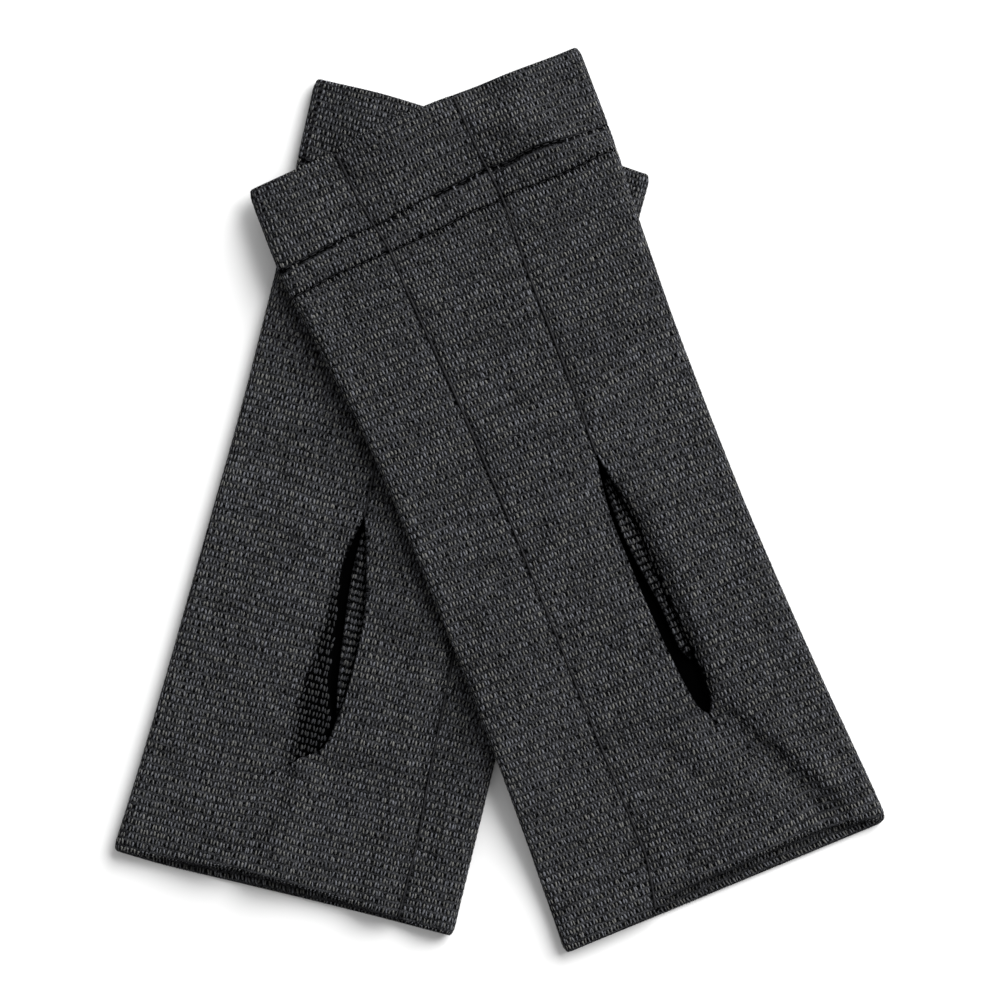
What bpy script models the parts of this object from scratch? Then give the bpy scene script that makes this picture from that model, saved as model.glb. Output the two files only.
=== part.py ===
"""A pair of wrist warmers, laid flat and crossed.

Each warmer is a flattened tube of doubled knit, built from the pieces that a maker would cut:
a wide back panel round both side folds and the whole underside, a narrow palm panel between the
two long seams, a turned cuff in two pieces, and the facing that shows inside the thumb opening.
The thumb opening is the stretch of one long seam that is left open. The top warmer lies across
the under warmer and comes down to the surface past its edges.

Sizes below are in millimetres in the frame of one warmer: along runs from the cuff's edge to the
hand's hem, across runs to the right as seen from above. Meshes are made in metres, +Z up, and the
pair rests on z = 0.
"""
import math
from collections import namedtuple

import bmesh
import bpy
from mathutils import Matrix, Vector

MM = 0.001

# Cloth and sewing
WALL = 1.8
AIR = 1.4
TUBE_HEIGHT = 2.0 * WALL + AIR
LEAST_AIR = 0.45
SEAM_GAP = 0.3
CUFF_DEPTH = 27.0
CORNER_RADIUS = 2.0
EDGE_STEP = 0.7
EDGE_SHARE = 0.25
FACING_WALL = 1.0
FACING_GAP = 0.4
FACING_TUCK = 5.0
SIDE_FADE = 5.0
HEM_SET_BACK_START = 2.0

# How the top warmer lies over the under one
LAY_GAP = 0.5
LAY_OVERHANG = 1.0
LAY_SLOPE = 5.0
LAY_END_RATIO = 2.1

# Mesh steps
STATION_STEP = 6.6
SLIT_STEP = 5.2
CUFF_STEP = 5.5
FOLD_PIECES = 5
FLAP_PIECES = 6
PALM_PIECES = 8
FACING_PIECES = 8
FACING_COLUMNS = 2
SHARP_ANGLE = 50.0

Outline = namedtuple("Outline", "along left right")
Seam = namedtuple("Seam", "along across")
ThumbSeam = namedtuple("ThumbSeam", "along across open")
FacingEdge = namedtuple("FacingEdge", "along across")
Hem = namedtuple("Hem", "across along")
Mouth = namedtuple("Mouth", "centre half_width gape deep fade")
Fold = namedtuple("Fold", "panel along_a across_a along_b across_b height reach")

COLLECTION = "wrist_warmers"
KNIT_COLOUR = (0.045, 0.046, 0.050, 1.0)
KNIT_ROUGHNESS = 0.9
FACING_COLOUR = (0.028, 0.029, 0.032, 1.0)
FACING_ROUGHNESS = 0.92

TOP = dict(
    name="top",
    cuff_centre=(-21.5, 99.2),
    turn=21.96,
    cuff_slant=0.033,
    hand_slant=0.0091,
    thumb_side=1,
    slit=(98.0, 171.0),
    hem_end=216.2,
    under_pieces=16,
    outline=(
        Outline(0.0, -47.6, 46.3),
        Outline(18.0, -48.0, 45.9),
        Outline(44.0, -45.9, 44.1),
        Outline(83.0, -42.8, 42.5),
        Outline(122.0, -42.4, 42.1),
        Outline(161.0, -42.9, 43.0),
        Outline(206.0, -44.7, 45.2),
        Outline(216.2, -45.3, 45.6),
    ),
    long_seam=(
        Seam(0.0, -21.7),
        Seam(20.0, -19.8),
        Seam(27.0, -19.3),
        Seam(44.0, -18.3),
        Seam(77.0, -17.2),
        Seam(122.0, -16.4),
        Seam(161.0, -16.5),
        Seam(200.0, -16.2),
        Seam(216.2, -19.2),
    ),
    thumb_seam=(
        ThumbSeam(0.0, 11.0, 0.0),
        ThumbSeam(17.0, 12.0, 0.0),
        ThumbSeam(27.0, 13.0, 0.0),
        ThumbSeam(50.0, 12.0, 0.0),
        ThumbSeam(83.0, 11.5, 0.0),
        ThumbSeam(98.0, 10.8, 0.0),
        ThumbSeam(105.0, 10.5, 1.8),
        ThumbSeam(113.0, 10.6, 4.1),
        ThumbSeam(122.0, 11.2, 5.9),
        ThumbSeam(135.0, 11.4, 6.0),
        ThumbSeam(148.0, 11.8, 6.0),
        ThumbSeam(156.0, 12.4, 6.1),
        ThumbSeam(164.0, 13.0, 5.5),
        ThumbSeam(168.5, 13.3, 3.2),
        ThumbSeam(171.0, 13.4, 0.0),
        ThumbSeam(176.0, 14.6, 0.0),
        ThumbSeam(182.0, 16.8, 0.0),
        ThumbSeam(195.0, 24.5, 0.0),
        ThumbSeam(206.0, 30.8, 0.0),
        ThumbSeam(216.2, 32.3, 0.0),
    ),
    facing=(
        FacingEdge(108.5, 11.3),
        FacingEdge(122.0, 12.1),
        FacingEdge(135.0, 12.7),
        FacingEdge(146.0, 13.4),
        FacingEdge(150.5, 14.5),
    ),
    facing_panel="back",
    hem=(
        Hem(-46.0, 215.9),
        Hem(-20.5, 215.5),
        Hem(-14.0, 212.6),
        Hem(-1.0, 211.6),
        Hem(24.0, 211.2),
        Hem(36.0, 212.8),
        Hem(45.0, 215.6),
    ),
    hand_mouth=Mouth(10.0, 32.0, 3.8, 8.0, 38.0),
    cuff_mouth=Mouth(28.0, 15.5, 5.8, 9.0, 24.0),
    folds=(
        Fold("both", 108.0, 3.0, 166.0, 5.0, 1.6, 17.0),
        Fold("both", 106.0, 22.0, 168.0, 24.0, 1.0, 15.0),
        Fold("back", 115.0, 14.0, 165.0, 15.5, -0.6, 6.0),
        Fold("both", 175.0, 14.0, 207.0, 30.0, -1.3, 8.0),
        Fold("both", 178.0, 25.0, 205.0, 38.0, 0.7, 6.5),
        Fold("both", 176.0, 4.0, 200.0, 13.0, 0.5, 8.0),
    ),
)

UNDER = dict(
    name="under",
    cuff_centre=(-4.2, 97.0),
    turn=-14.57,
    cuff_slant=-0.026,
    hand_slant=-0.0046,
    thumb_side=-1,
    slit=(105.0, 171.5),
    hem_end=206.8,
    under_pieces=4,
    outline=(
        Outline(0.0, -45.2, 45.7),
        Outline(18.0, -44.5, 45.4),
        Outline(44.0, -42.7, 44.0),
        Outline(83.0, -42.3, 43.4),
        Outline(122.0, -43.0, 43.9),
        Outline(161.0, -43.8, 45.2),
        Outline(195.0, -45.0, 45.8),
        Outline(206.8, -45.7, 45.7),
    ),
    long_seam=(
        Seam(0.0, 28.2),
        Seam(20.0, 26.3),
        Seam(27.0, 25.8),
        Seam(44.0, 24.8),
        Seam(77.0, 23.7),
        Seam(100.0, 24.6),
        Seam(135.0, 27.4),
        Seam(168.0, 29.3),
        Seam(187.0, 30.6),
        Seam(206.8, 30.7),
    ),
    thumb_seam=(
        ThumbSeam(0.0, -4.5, 0.0),
        ThumbSeam(17.0, -5.5, 0.0),
        ThumbSeam(27.0, -6.6, 0.0),
        ThumbSeam(50.0, -5.5, 0.0),
        ThumbSeam(83.0, -5.0, 0.0),
        ThumbSeam(105.0, -4.2, 0.0),
        ThumbSeam(113.0, -3.7, 3.5),
        ThumbSeam(121.0, -3.2, 6.7),
        ThumbSeam(129.0, -2.8, 9.6),
        ThumbSeam(142.0, -2.7, 11.2),
        ThumbSeam(152.0, -2.9, 11.6),
        ThumbSeam(160.0, -3.4, 10.9),
        ThumbSeam(165.0, -3.9, 8.2),
        ThumbSeam(168.5, -4.4, 5.1),
        ThumbSeam(171.5, -5.4, 0.0),
        ThumbSeam(175.0, -9.0, 0.0),
        ThumbSeam(180.0, -12.2, 0.0),
        ThumbSeam(185.0, -13.9, 0.0),
        ThumbSeam(191.0, -14.6, 0.0),
        ThumbSeam(206.8, -14.4, 0.0),
    ),
    facing=(
        FacingEdge(110.0, -3.7),
        FacingEdge(118.0, -3.7),
        FacingEdge(129.0, -2.9),
        FacingEdge(142.0, -1.8),
        FacingEdge(152.0, -0.7),
        FacingEdge(158.0, 1.0),
    ),
    facing_panel="palm",
    hem=(
        Hem(-45.0, 206.5),
        Hem(-34.0, 205.2),
        Hem(-23.5, 204.2),
        Hem(-14.4, 203.3),
        Hem(-1.0, 203.6),
        Hem(12.0, 204.4),
        Hem(30.0, 206.0),
        Hem(45.0, 206.6),
    ),
    hand_mouth=Mouth(-10.0, 32.0, 3.8, 8.0, 38.0),
    cuff_mouth=Mouth(-28.0, 14.0, 3.9, 8.0, 17.0),
    folds=(
        Fold("both", 112.0, 9.0, 163.0, 10.0, 1.6, 16.0),
        Fold("both", 115.0, -20.0, 165.0, -20.0, 1.0, 13.0),
        Fold("both", 173.0, -10.0, 203.0, -14.5, 1.2, 6.0),
        Fold("both", 177.0, -3.0, 199.0, -6.0, -0.8, 7.0),
        Fold("palm", 132.0, 24.0, 204.0, 27.0, 1.1, 9.0),
        Fold("back", 132.0, 31.0, 204.0, 34.0, -0.8, 7.0),
    ),
)


def smooth_step(share):
    """A soft rise from 0 to 1."""
    share = min(1.0, max(0.0, share))
    return share * share * (3.0 - 2.0 * share)


class SmoothColumn:
    """One column of a table, read smoothly between its rows and never past their values."""

    def __init__(self, rows, place, value):
        self.places = [getattr(row, place) for row in rows]
        self.values = [getattr(row, value) for row in rows]
        steps = list(zip(self.places, self.places[1:], self.values, self.values[1:]))
        rises = [(high - low) / (end - start) for start, end, low, high in steps]
        self.slopes = [rises[0]]
        for before, after in zip(rises, rises[1:]):
            same_way = before * after > 0.0
            self.slopes.append(2.0 * before * after / (before + after) if same_way else 0.0)
        self.slopes.append(rises[-1])

    def __call__(self, at):
        at = min(self.places[-1], max(self.places[0], at))
        i = 0
        while i < len(self.places) - 2 and at > self.places[i + 1]:
            i += 1
        width = self.places[i + 1] - self.places[i]
        x = (at - self.places[i]) / width
        fall = (1.0 - x) * (1.0 - x)
        rise = x * x
        return (
            self.values[i] * fall * (1.0 + 2.0 * x)
            + self.slopes[i] * width * x * fall
            + self.values[i + 1] * rise * (3.0 - 2.0 * x)
            - self.slopes[i + 1] * width * rise * (1.0 - x)
        )


class Warmer:
    """The form of one warmer: its outline, seams, folds and mouths as functions of place."""

    def __init__(self, sizes, lies_on=None):
        self.sizes = sizes
        self.name = sizes["name"]
        self.lies_on = lies_on
        self.hem_end = sizes["hem_end"]
        self.slit = sizes["slit"]
        self.thumb_side = sizes["thumb_side"]
        self.left = SmoothColumn(sizes["outline"], "along", "left")
        self.right = SmoothColumn(sizes["outline"], "along", "right")
        self.long_seam = SmoothColumn(sizes["long_seam"], "along", "across")
        self.thumb_seam = SmoothColumn(sizes["thumb_seam"], "along", "across")
        self.thumb_open = SmoothColumn(sizes["thumb_seam"], "along", "open")
        self.facing_edge = SmoothColumn(sizes["facing"], "along", "across")
        self.upper_hem = SmoothColumn(sizes["hem"], "across", "along")
        centre = Vector((sizes["cuff_centre"][0], sizes["cuff_centre"][1], 0.0))
        self.place = Matrix.Translation(centre) @ Matrix.Rotation(math.radians(sizes["turn"]), 4, "Z")

    def corner_inset(self, along):
        """How far the outline draws in at the rounded corners of the cuff and the hem."""
        from_end = min(along, self.hem_end - along)
        if from_end >= CORNER_RADIUS:
            return 0.0
        short = CORNER_RADIUS - max(0.0, from_end)
        return CORNER_RADIUS - math.sqrt(CORNER_RADIUS * CORNER_RADIUS - short * short)

    def sides(self, along):
        """Left and right side folds at a place along the tube."""
        inset = self.corner_inset(along)
        return self.left(along) + inset, self.right(along) - inset

    def half_gap(self, seam, along):
        """Half the seam's gap, measured across, so that a slanting seam keeps its true gap."""
        slant = seam(along + 0.5) - seam(along - 0.5)
        return 0.5 * SEAM_GAP * math.hypot(1.0, slant)

    def lip(self, panel, along):
        """Edge of the palm or the back panel beside the thumb opening, without the seam's gap."""
        side = self.thumb_side if panel == "back" else -self.thumb_side
        return self.thumb_seam(along) + 0.5 * side * self.thumb_open(along)

    def seam_edges(self, along):
        """Edges of the palm panel and of the back panel's two flaps, from left to right."""
        long_gap = self.half_gap(self.long_seam, along)
        thumb_gap = self.half_gap(self.thumb_seam, along)
        side = self.thumb_side
        long_palm = self.long_seam(along) + side * long_gap
        long_back = self.long_seam(along) - side * long_gap
        thumb_palm = self.lip("palm", along) - side * thumb_gap
        thumb_back = self.lip("back", along) + side * thumb_gap
        edges = (long_back, long_palm, thumb_palm, thumb_back)
        return edges if side > 0 else edges[::-1]

    def mouth_rise(self, mouth, from_end, across):
        """How far the upper wall stands open near one end of the tube."""
        off = (across - mouth.centre) / mouth.half_width
        if abs(off) >= 1.0:
            return 0.0
        open_share = 1.0 - smooth_step((from_end - mouth.deep) / mouth.fade)
        return mouth.gape * open_share * math.cos(0.5 * math.pi * off) ** 2

    def fold_rise(self, fold, along, across):
        """Height that one soft ridge or trough adds at a place."""
        start = Vector((fold.across_a, fold.along_a))
        end = Vector((fold.across_b, fold.along_b))
        at = Vector((across, along))
        run = end - start
        share = min(1.0, max(0.0, (at - start).dot(run) / run.length_squared))
        off = (at - start - run * share).length / fold.reach
        return fold.height * (1.0 - off * off) ** 2 if off < 1.0 else 0.0

    def rise(self, along, across, panel):
        """What the mouths and the folds add to the upper wall's height on one panel."""
        total = self.mouth_rise(self.sizes["hand_mouth"], self.hem_end - along, across)
        total += self.mouth_rise(self.sizes["cuff_mouth"], along, across)
        for fold in self.sizes["folds"]:
            if fold.panel in ("both", panel) or (panel == "cover" and fold.height > 0.0):
                total += self.fold_rise(fold, along, across)
        return max(total, LEAST_AIR - AIR)

    def side_fade(self, along, across):
        """Fades the folds out where the upper wall turns into a side fold."""
        left, right = self.sides(along)
        turn = 0.5 * TUBE_HEIGHT
        inside = min(across - left, right - across) - turn
        return smooth_step(inside / SIDE_FADE)

    def upper_height(self, along, across, panel):
        """Outer height of the upper wall over the surface that the lower wall lies on."""
        return TUBE_HEIGHT + self.rise(along, across, panel) * self.side_fade(along, across)

    def cover_height(self, x, y):
        """Height that a cloth laid over this warmer takes at a place of the pair."""
        local = self.place.inverted() @ Vector((x, y, 0.0))
        across = local.x
        along = -local.y + self.slant(-local.y) * across
        on_along = min(self.hem_end, max(0.0, along))
        left, right = self.left(on_along), self.right(on_along)
        on_across = min(right, max(left, across))
        outside = math.hypot((along - on_along) * LAY_END_RATIO, across - on_across)
        inside = min(across - left, right - across, along, self.hem_end - along)
        depth = -outside if outside > 0.0 else inside
        height = self.upper_height(on_along, on_across, "cover")
        reach = LAY_SLOPE * height
        return (height + LAY_GAP) * smooth_step((depth + reach) / (reach + LAY_OVERHANG))

    def slant(self, along):
        """Slope of the stations against the tube's axis, from the cuff's to the hem's."""
        share = along / self.hem_end
        return self.sizes["cuff_slant"] * (1.0 - share) + self.sizes["hand_slant"] * share

    def true_along(self, along, across, level):
        """Place along the tube of a station: the upper wall's hem is set back from the lower's."""
        stretch_start = self.slit[1] + HEM_SET_BACK_START
        if along <= stretch_start:
            return along
        hem = self.hem_end + (self.upper_hem(across) - self.hem_end) * level
        share = (along - stretch_start) / (self.hem_end - stretch_start)
        return stretch_start + share * (hem - stretch_start)

    def point(self, along, across, height):
        """A point of this warmer's mesh, in metres in the warmer's frame."""
        local = Vector((across, -along + self.slant(along) * across, 0.0))
        lift = 0.0
        if self.lies_on:
            there = self.place @ local
            lift = self.lies_on.cover_height(there.x, there.y)
        return Vector((local.x, local.y, height + lift)) * MM


def spread(start, end, pieces):
    """Evenly spaced places from start to end, both included."""
    return [start + (end - start) * i / pieces for i in range(pieces + 1)]


def edged(start, end, pieces, start_edge=True, end_edge=True):
    """Evenly spaced places with one narrow step beside each cut or turned edge."""
    way = math.copysign(EDGE_STEP, end - start)
    inner_start = start + way if start_edge else start
    inner_end = end - way if end_edge else end
    places = spread(inner_start, inner_end, pieces)
    if start_edge:
        places.insert(0, start)
    if end_edge:
        places.append(end)
    return places


def stretch(start, end, step):
    """Number of pieces of about one step in a stretch."""
    return max(1, round((end - start) / step))


def body_stations(warmer):
    """Stations of the body, closer together beside the thumb opening."""
    start = CUFF_DEPTH + 0.5 * SEAM_GAP
    slit_start, slit_end = warmer.slit
    upper = edged(start, slit_start, stretch(start, slit_start, STATION_STEP), end_edge=False)
    beside = spread(slit_start, slit_end, stretch(slit_start, slit_end, SLIT_STEP))
    lower = edged(
        slit_end, warmer.hem_end, stretch(slit_end, warmer.hem_end, SLIT_STEP), start_edge=False
    )
    return upper + beside[1:] + lower[1:]


def cuff_stations():
    """Stations of the cuff, from its turned edge to its joining seam."""
    end = CUFF_DEPTH - 0.5 * SEAM_GAP
    return edged(0.0, end, stretch(0.0, end, CUFF_STEP))


def upper_pair(warmer, along, across, panel):
    """Outer and inner point of the upper wall."""
    true_along = warmer.true_along(along, across, 1.0)
    height = warmer.upper_height(true_along, across, panel)
    outer = warmer.point(true_along, across, height)
    inner = warmer.point(true_along, across, height - WALL)
    return outer, inner


def fold_pairs(warmer, along, side):
    """Outer and inner points round one side fold, from the upper wall to the lower."""
    left, right = warmer.sides(along)
    outer_radius = 0.5 * TUBE_HEIGHT
    inner_radius = outer_radius - WALL
    centre = left + outer_radius if side < 0 else right - outer_radius
    pairs = []
    for i in range(1, FOLD_PIECES):
        angle = math.pi * (0.5 - i / FOLD_PIECES)
        out = side * math.cos(angle)
        up = math.sin(angle)
        true_along = warmer.true_along(along, centre, 0.5 + 0.5 * up)
        pairs.append(
            tuple(
                warmer.point(true_along, centre + radius * out, outer_radius + radius * up)
                for radius in (outer_radius, inner_radius)
            )
        )
    return pairs


def back_section(warmer, along):
    """Pairs of points round the back panel at one station: left flap, underside, right flap."""
    left, right = warmer.sides(along)
    left_end, _, _, right_end = warmer.seam_edges(along)
    turn = 0.5 * TUBE_HEIGHT
    pairs = [
        upper_pair(warmer, along, across, "back")
        for across in edged(left_end, left + turn, FLAP_PIECES, end_edge=False)
    ]
    pairs += fold_pairs(warmer, along, -1)
    for across in spread(left + turn, right - turn, warmer.sizes["under_pieces"]):
        pairs.append((warmer.point(along, across, 0.0), warmer.point(along, across, WALL)))
    pairs += fold_pairs(warmer, along, 1)[::-1]
    pairs += [
        upper_pair(warmer, along, across, "back")
        for across in edged(right - turn, right_end, FLAP_PIECES, start_edge=False)
    ]
    return pairs


def palm_section(warmer, along):
    """Pairs of points across the palm panel at one station."""
    _, start, end, _ = warmer.seam_edges(along)
    return [
        upper_pair(warmer, along, across, "palm") for across in edged(start, end, PALM_PIECES)
    ]


def facing_section(warmer, along):
    """Pairs of points across the thumb facing, under the lip of the panel that it finishes."""
    panel = warmer.sizes["facing_panel"]
    start = warmer.facing_edge(along)
    end = max(warmer.lip(panel, along), start) + FACING_TUCK
    pairs = []
    for across in edged(start, end, FACING_COLUMNS, end_edge=False):
        top = warmer.upper_height(along, across, panel) - WALL - FACING_GAP
        outer = warmer.point(along, across, top)
        inner = warmer.point(along, across, top - FACING_WALL)
        pairs.append((outer, inner))
    return pairs


def round_edges(pairs_by_station):
    """Draws the two faces of the wall together along all four edges of a panel."""
    last = len(pairs_by_station) - 1
    for i, station in enumerate(pairs_by_station):
        for j, (outer, inner) in enumerate(station):
            if i in (0, last) or j in (0, len(station) - 1):
                station[j] = (outer.lerp(inner, EDGE_SHARE), inner.lerp(outer, EDGE_SHARE))


def cloth_wall(name, pairs_by_station, material, warmer_empty, collection):
    """One closed cloth wall, lofted through its stations."""
    round_edges(pairs_by_station)
    bm = bmesh.new()
    faces = [[[bm.verts.new(pair[side]) for pair in row] for row in pairs_by_station] for side in (0, 1)]
    rows = len(pairs_by_station)
    columns = len(pairs_by_station[0])
    for grid in faces:
        for i in range(rows - 1):
            for j in range(columns - 1):
                bm.faces.new((grid[i][j], grid[i][j + 1], grid[i + 1][j + 1], grid[i + 1][j]))
    outer, inner = faces
    rim = [(i, 0) for i in range(rows)]
    rim += [(rows - 1, j) for j in range(1, columns)]
    rim += [(i, columns - 1) for i in range(rows - 2, -1, -1)]
    rim += [(0, j) for j in range(columns - 2, 0, -1)]
    for (i, j), (k, l) in zip(rim, rim[1:] + rim[:1]):
        bm.faces.new((outer[i][j], outer[k][l], inner[k][l], inner[i][j]))
    bmesh.ops.recalc_face_normals(bm, faces=bm.faces)
    mesh = bpy.data.meshes.new(name)
    bm.to_mesh(mesh)
    bm.free()
    mesh.shade_smooth()
    mesh.set_sharp_from_angle(angle=math.radians(SHARP_ANGLE))
    mesh.materials.append(material)
    piece = bpy.data.objects.new(name, mesh)
    piece.parent = warmer_empty
    collection.objects.link(piece)
    return piece


def knit_material(name, colour, roughness):
    """Soft matt wool."""
    material = bpy.data.materials.new(name)
    material.use_nodes = True
    shader = material.node_tree.nodes["Principled BSDF"]
    shader.inputs["Base Color"].default_value = colour
    shader.inputs["Roughness"].default_value = roughness
    shader.inputs["Metallic"].default_value = 0.0
    material.diffuse_color = colour
    return material


def build_warmer(warmer, materials, collection):
    """The five pieces of one warmer, under an empty that places it in the pair."""
    empty = bpy.data.objects.new(warmer.name + "_warmer", None)
    empty.matrix_world = Matrix.Scale(MM, 4) @ warmer.place @ Matrix.Scale(1.0 / MM, 4)
    collection.objects.link(empty)
    facing = warmer.sizes["facing"]
    body = body_stations(warmer)
    cuff = cuff_stations()
    facing_stations = edged(facing[0].along, facing[-1].along, FACING_PIECES)
    knit, lining = materials
    pieces = (
        ("back_panel", back_section, body, knit),
        ("palm_panel", palm_section, body, knit),
        ("cuff_back", back_section, cuff, knit),
        ("cuff_palm", palm_section, cuff, knit),
        ("thumb_facing", facing_section, facing_stations, lining),
    )
    for part, section, stations, material in pieces:
        pairs = [section(warmer, along) for along in stations]
        cloth_wall(warmer.name + "_" + part, pairs, material, empty, collection)
    return empty


def centre_on_origin(empties):
    """Moves the pair so that the middle of its bounding box stands over the origin."""
    bpy.context.view_layer.update()
    pieces = [child for empty in empties for child in empty.children]
    corners = [piece.matrix_world @ vertex.co for piece in pieces for vertex in piece.data.vertices]
    middle_x = 0.5 * (min(c.x for c in corners) + max(c.x for c in corners))
    middle_y = 0.5 * (min(c.y for c in corners) + max(c.y for c in corners))
    for empty in empties:
        empty.location.x -= middle_x
        empty.location.y -= middle_y


def main():
    for thing in list(bpy.data.objects):
        bpy.data.objects.remove(thing, do_unlink=True)
    collection = bpy.data.collections.new(COLLECTION)
    bpy.context.scene.collection.children.link(collection)
    materials = (
        knit_material("charcoal_knit", KNIT_COLOUR, KNIT_ROUGHNESS),
        knit_material("facing_knit", FACING_COLOUR, FACING_ROUGHNESS),
    )
    under = Warmer(UNDER)
    top = Warmer(TOP, lies_on=under)
    empties = [build_warmer(warmer, materials, collection) for warmer in (under, top)]
    centre_on_origin(empties)


main()
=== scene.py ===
"""The looks of a pair of knitted wrist warmers, laid flat and crossed.

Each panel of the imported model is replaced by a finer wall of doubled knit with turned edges, and
Geometry Nodes lay the knit's raised loops on it, row by row, along the wall's own chart. Sizes are
in millimetres in the frame of one warmer, as in the model: along runs from the cuff's edge to the
hand's hem, across runs to the right as seen from above. Meshes are made in metres.
"""
import math
from collections import namedtuple

import bmesh
import bpy
import numpy as np
from bpy.props import FloatProperty, FloatVectorProperty, IntProperty, PointerProperty
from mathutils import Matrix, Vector


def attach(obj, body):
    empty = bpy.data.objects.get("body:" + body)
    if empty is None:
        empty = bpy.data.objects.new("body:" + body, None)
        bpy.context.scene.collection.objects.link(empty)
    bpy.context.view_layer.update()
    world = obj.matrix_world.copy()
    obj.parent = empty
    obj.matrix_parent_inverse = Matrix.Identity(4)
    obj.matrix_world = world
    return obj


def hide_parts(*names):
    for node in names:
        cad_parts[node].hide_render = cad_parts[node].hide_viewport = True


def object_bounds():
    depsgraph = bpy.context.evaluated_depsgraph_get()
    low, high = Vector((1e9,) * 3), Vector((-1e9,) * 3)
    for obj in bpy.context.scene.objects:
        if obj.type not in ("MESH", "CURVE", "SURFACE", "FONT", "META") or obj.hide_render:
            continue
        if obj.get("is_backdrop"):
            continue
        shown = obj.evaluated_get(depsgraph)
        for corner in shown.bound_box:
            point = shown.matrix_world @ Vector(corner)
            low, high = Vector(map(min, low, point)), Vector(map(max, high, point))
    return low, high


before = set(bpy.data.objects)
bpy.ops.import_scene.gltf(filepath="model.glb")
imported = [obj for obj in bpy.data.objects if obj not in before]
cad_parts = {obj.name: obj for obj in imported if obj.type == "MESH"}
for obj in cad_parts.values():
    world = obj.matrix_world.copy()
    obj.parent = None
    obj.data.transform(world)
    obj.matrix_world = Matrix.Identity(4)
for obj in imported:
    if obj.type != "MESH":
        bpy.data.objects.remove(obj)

bl_info = {
    "name": "Wrist Warmers",
    "version": (1, 0, 0),
    "blender": (4, 5, 0),
    "location": "View3D > Sidebar > Wrist Warmers",
    "description": "Knits a crossed pair of wrist warmers on its packed model",
    "category": "Object",
}

MM = 0.001
CAD_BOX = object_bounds()

# Cloth and sewing, as in the model, but with closer seams
WALL = 1.8
AIR = 1.4
TUBE_HEIGHT = 2.0 * WALL + AIR
TURN = 0.5 * TUBE_HEIGHT
LEAST_AIR = 0.45
SEAM_GAP = 0.12
CUFF_DEPTH = 27.0
CORNER_RADIUS = 2.0
FACING_WALL = 1.0
FACING_GAP = 0.4
FACING_TUCK = 5.0
SIDE_FADE = 5.0
HEM_SET_BACK_START = 2.0

# How the top warmer lies over the under one, as in the model
LAY_GAP = 0.5
LAY_OVERHANG = 1.0
LAY_SLOPE = 5.0
LAY_END_RATIO = 2.1

# The turned edges of each wall, and its cut edges, whose first flat place is FLAT_FROM turns in
HEM_TURN = 0.5 * WALL
SEAM_TURN = 0.45
TURN_PIECES = 6
EDGE_PIECES = 3
EDGE_DIP = 0.22
FLAT_FROM = 1.3

# Mesh steps
STATION_STEP = 1.3
FLAP_STEP = 1.5
UNDER_STEP = 3.0
FACING_SHARE = 0.15
FOLD_PIECES = 8
BESIDE_SEAM = (0.45, 0.8, 1.2)
BESIDE_LINES = (-1.0, -0.6, -0.3, 0.0, 0.3, 0.6, 1.0)
LEAST_STEP = 0.2
MERGED = 0.002 * MM

# The chart: the UV map of every wall, which the loops and the cloth's pattern follow
CHART = "knit_chart"
CHART_PER_METRE = 2.0
CHART_ACROSS = 0.4
CHART_ALONG = 0.1

# What each wall keeps at its points: how far it lies in a sewn groove or at a cut edge, and how
# much painted shade darkens its colour inside the tube, on the thumb facing and on the rolled lip
# in the thumb opening, where real shade would fall
GROOVE = "groove"
RIM = "rim"
PAINTED_SHADE = "shade"
# Painted shade: inside the tube it grows from none to full between these two lengths past the turned
# edge; then the most of the colour that it takes, the share of a lip's dim width where it stays full,
# and the facing's darkest painted shade
INSIDE_SHADE_FROM = 8.0
INSIDE_SHADE_FULL = 22.0
PAINTED_SHADE_DARKENS = 0.95
DIM_HOLDS = 0.65
FACING_DARKEST_PAINTED = 0.9

# Where loops are left out
RIM_CLEAR = 0.25
GROOVE_CLEAR = 0.15
EDGE_CLEAR = 0.1
PAST_LAST_ROW = 0.05
LEAST_LOOP = 0.5 * MM
LONGEST_LOOP = 2.5

# The loops' unevenness, as shares of a pitch or a size, and the seed of each
SHAKEN_ACROSS = 0.24
SHAKEN_ALONG = 0.09
SHAKEN_LEAN = 0.8
SHAKEN_LENGTH = 0.14
HEIGHTS = (0.8, 1.2)
WIDTHS = (0.7, 1.3)
SEEDS = dict(along=11, lean=23, length=37, shade=51, tint=67, width=71, height=83)

# The loops' form, as shares: what each end gives to the middle, the half width of the whole one,
# and the height that is left on the upright side folds
LOOP_ENDS = 0.2
LOOP_HALF_WIDTH = 0.6
AT_FOLDS = 0.35

# How the rows wander and how the marl changes, in waves a metre across and along, or a row
ROW_WANDER = 1.5 * MM
WANDER_ACROSS, WANDER_ALONG = 80.0, 25.0
MARL_ACROSS, MARL_BY_ROW, MARL_SHARE = 120.0, 7.31, 0.85
CLOUD_ACROSS, CLOUD_ALONG, CLOUD_AT, CLOUD_SHARE = 45.0, 90.0, 3.0, 0.4
TINT_ACROSS, TINT_BY_ROW, TINT_AT = 260.0, 3.7, 9.0
LOOP_SHADE_SHARE = 0.27
LOOP_TINT_SHARE = 0.5

# Fibres of the yarn, the ground and the thread: how fine, in waves a metre, and how strong
YARN_FIBRES, FIBRE_SHARE = 2300.0, 1.7
TINT_FIBRES, TINT_FIBRE_SHARE, TINT_CONTRAST = 900.0, 0.8, 3.0
GROUND_FIBRES, GROUND_CONTRAST = 1900.0, (1.6, -0.6)
STREAK_ACROSS, STREAK_SHARE = 160.0, 0.8
ROW_SHARPNESS = 2.2
WALE_SHARE = 0.25
# Painted shade in the cuff's sewn grooves: the share of the ground's colour taken there
GROOVE_PAINTED_SHADE = 0.9
THREAD_TWIST = 1800.0

# A cloth wider than this on its chart gets its loops in two pieces
WIDEST_PIECE = 100.0

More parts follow.
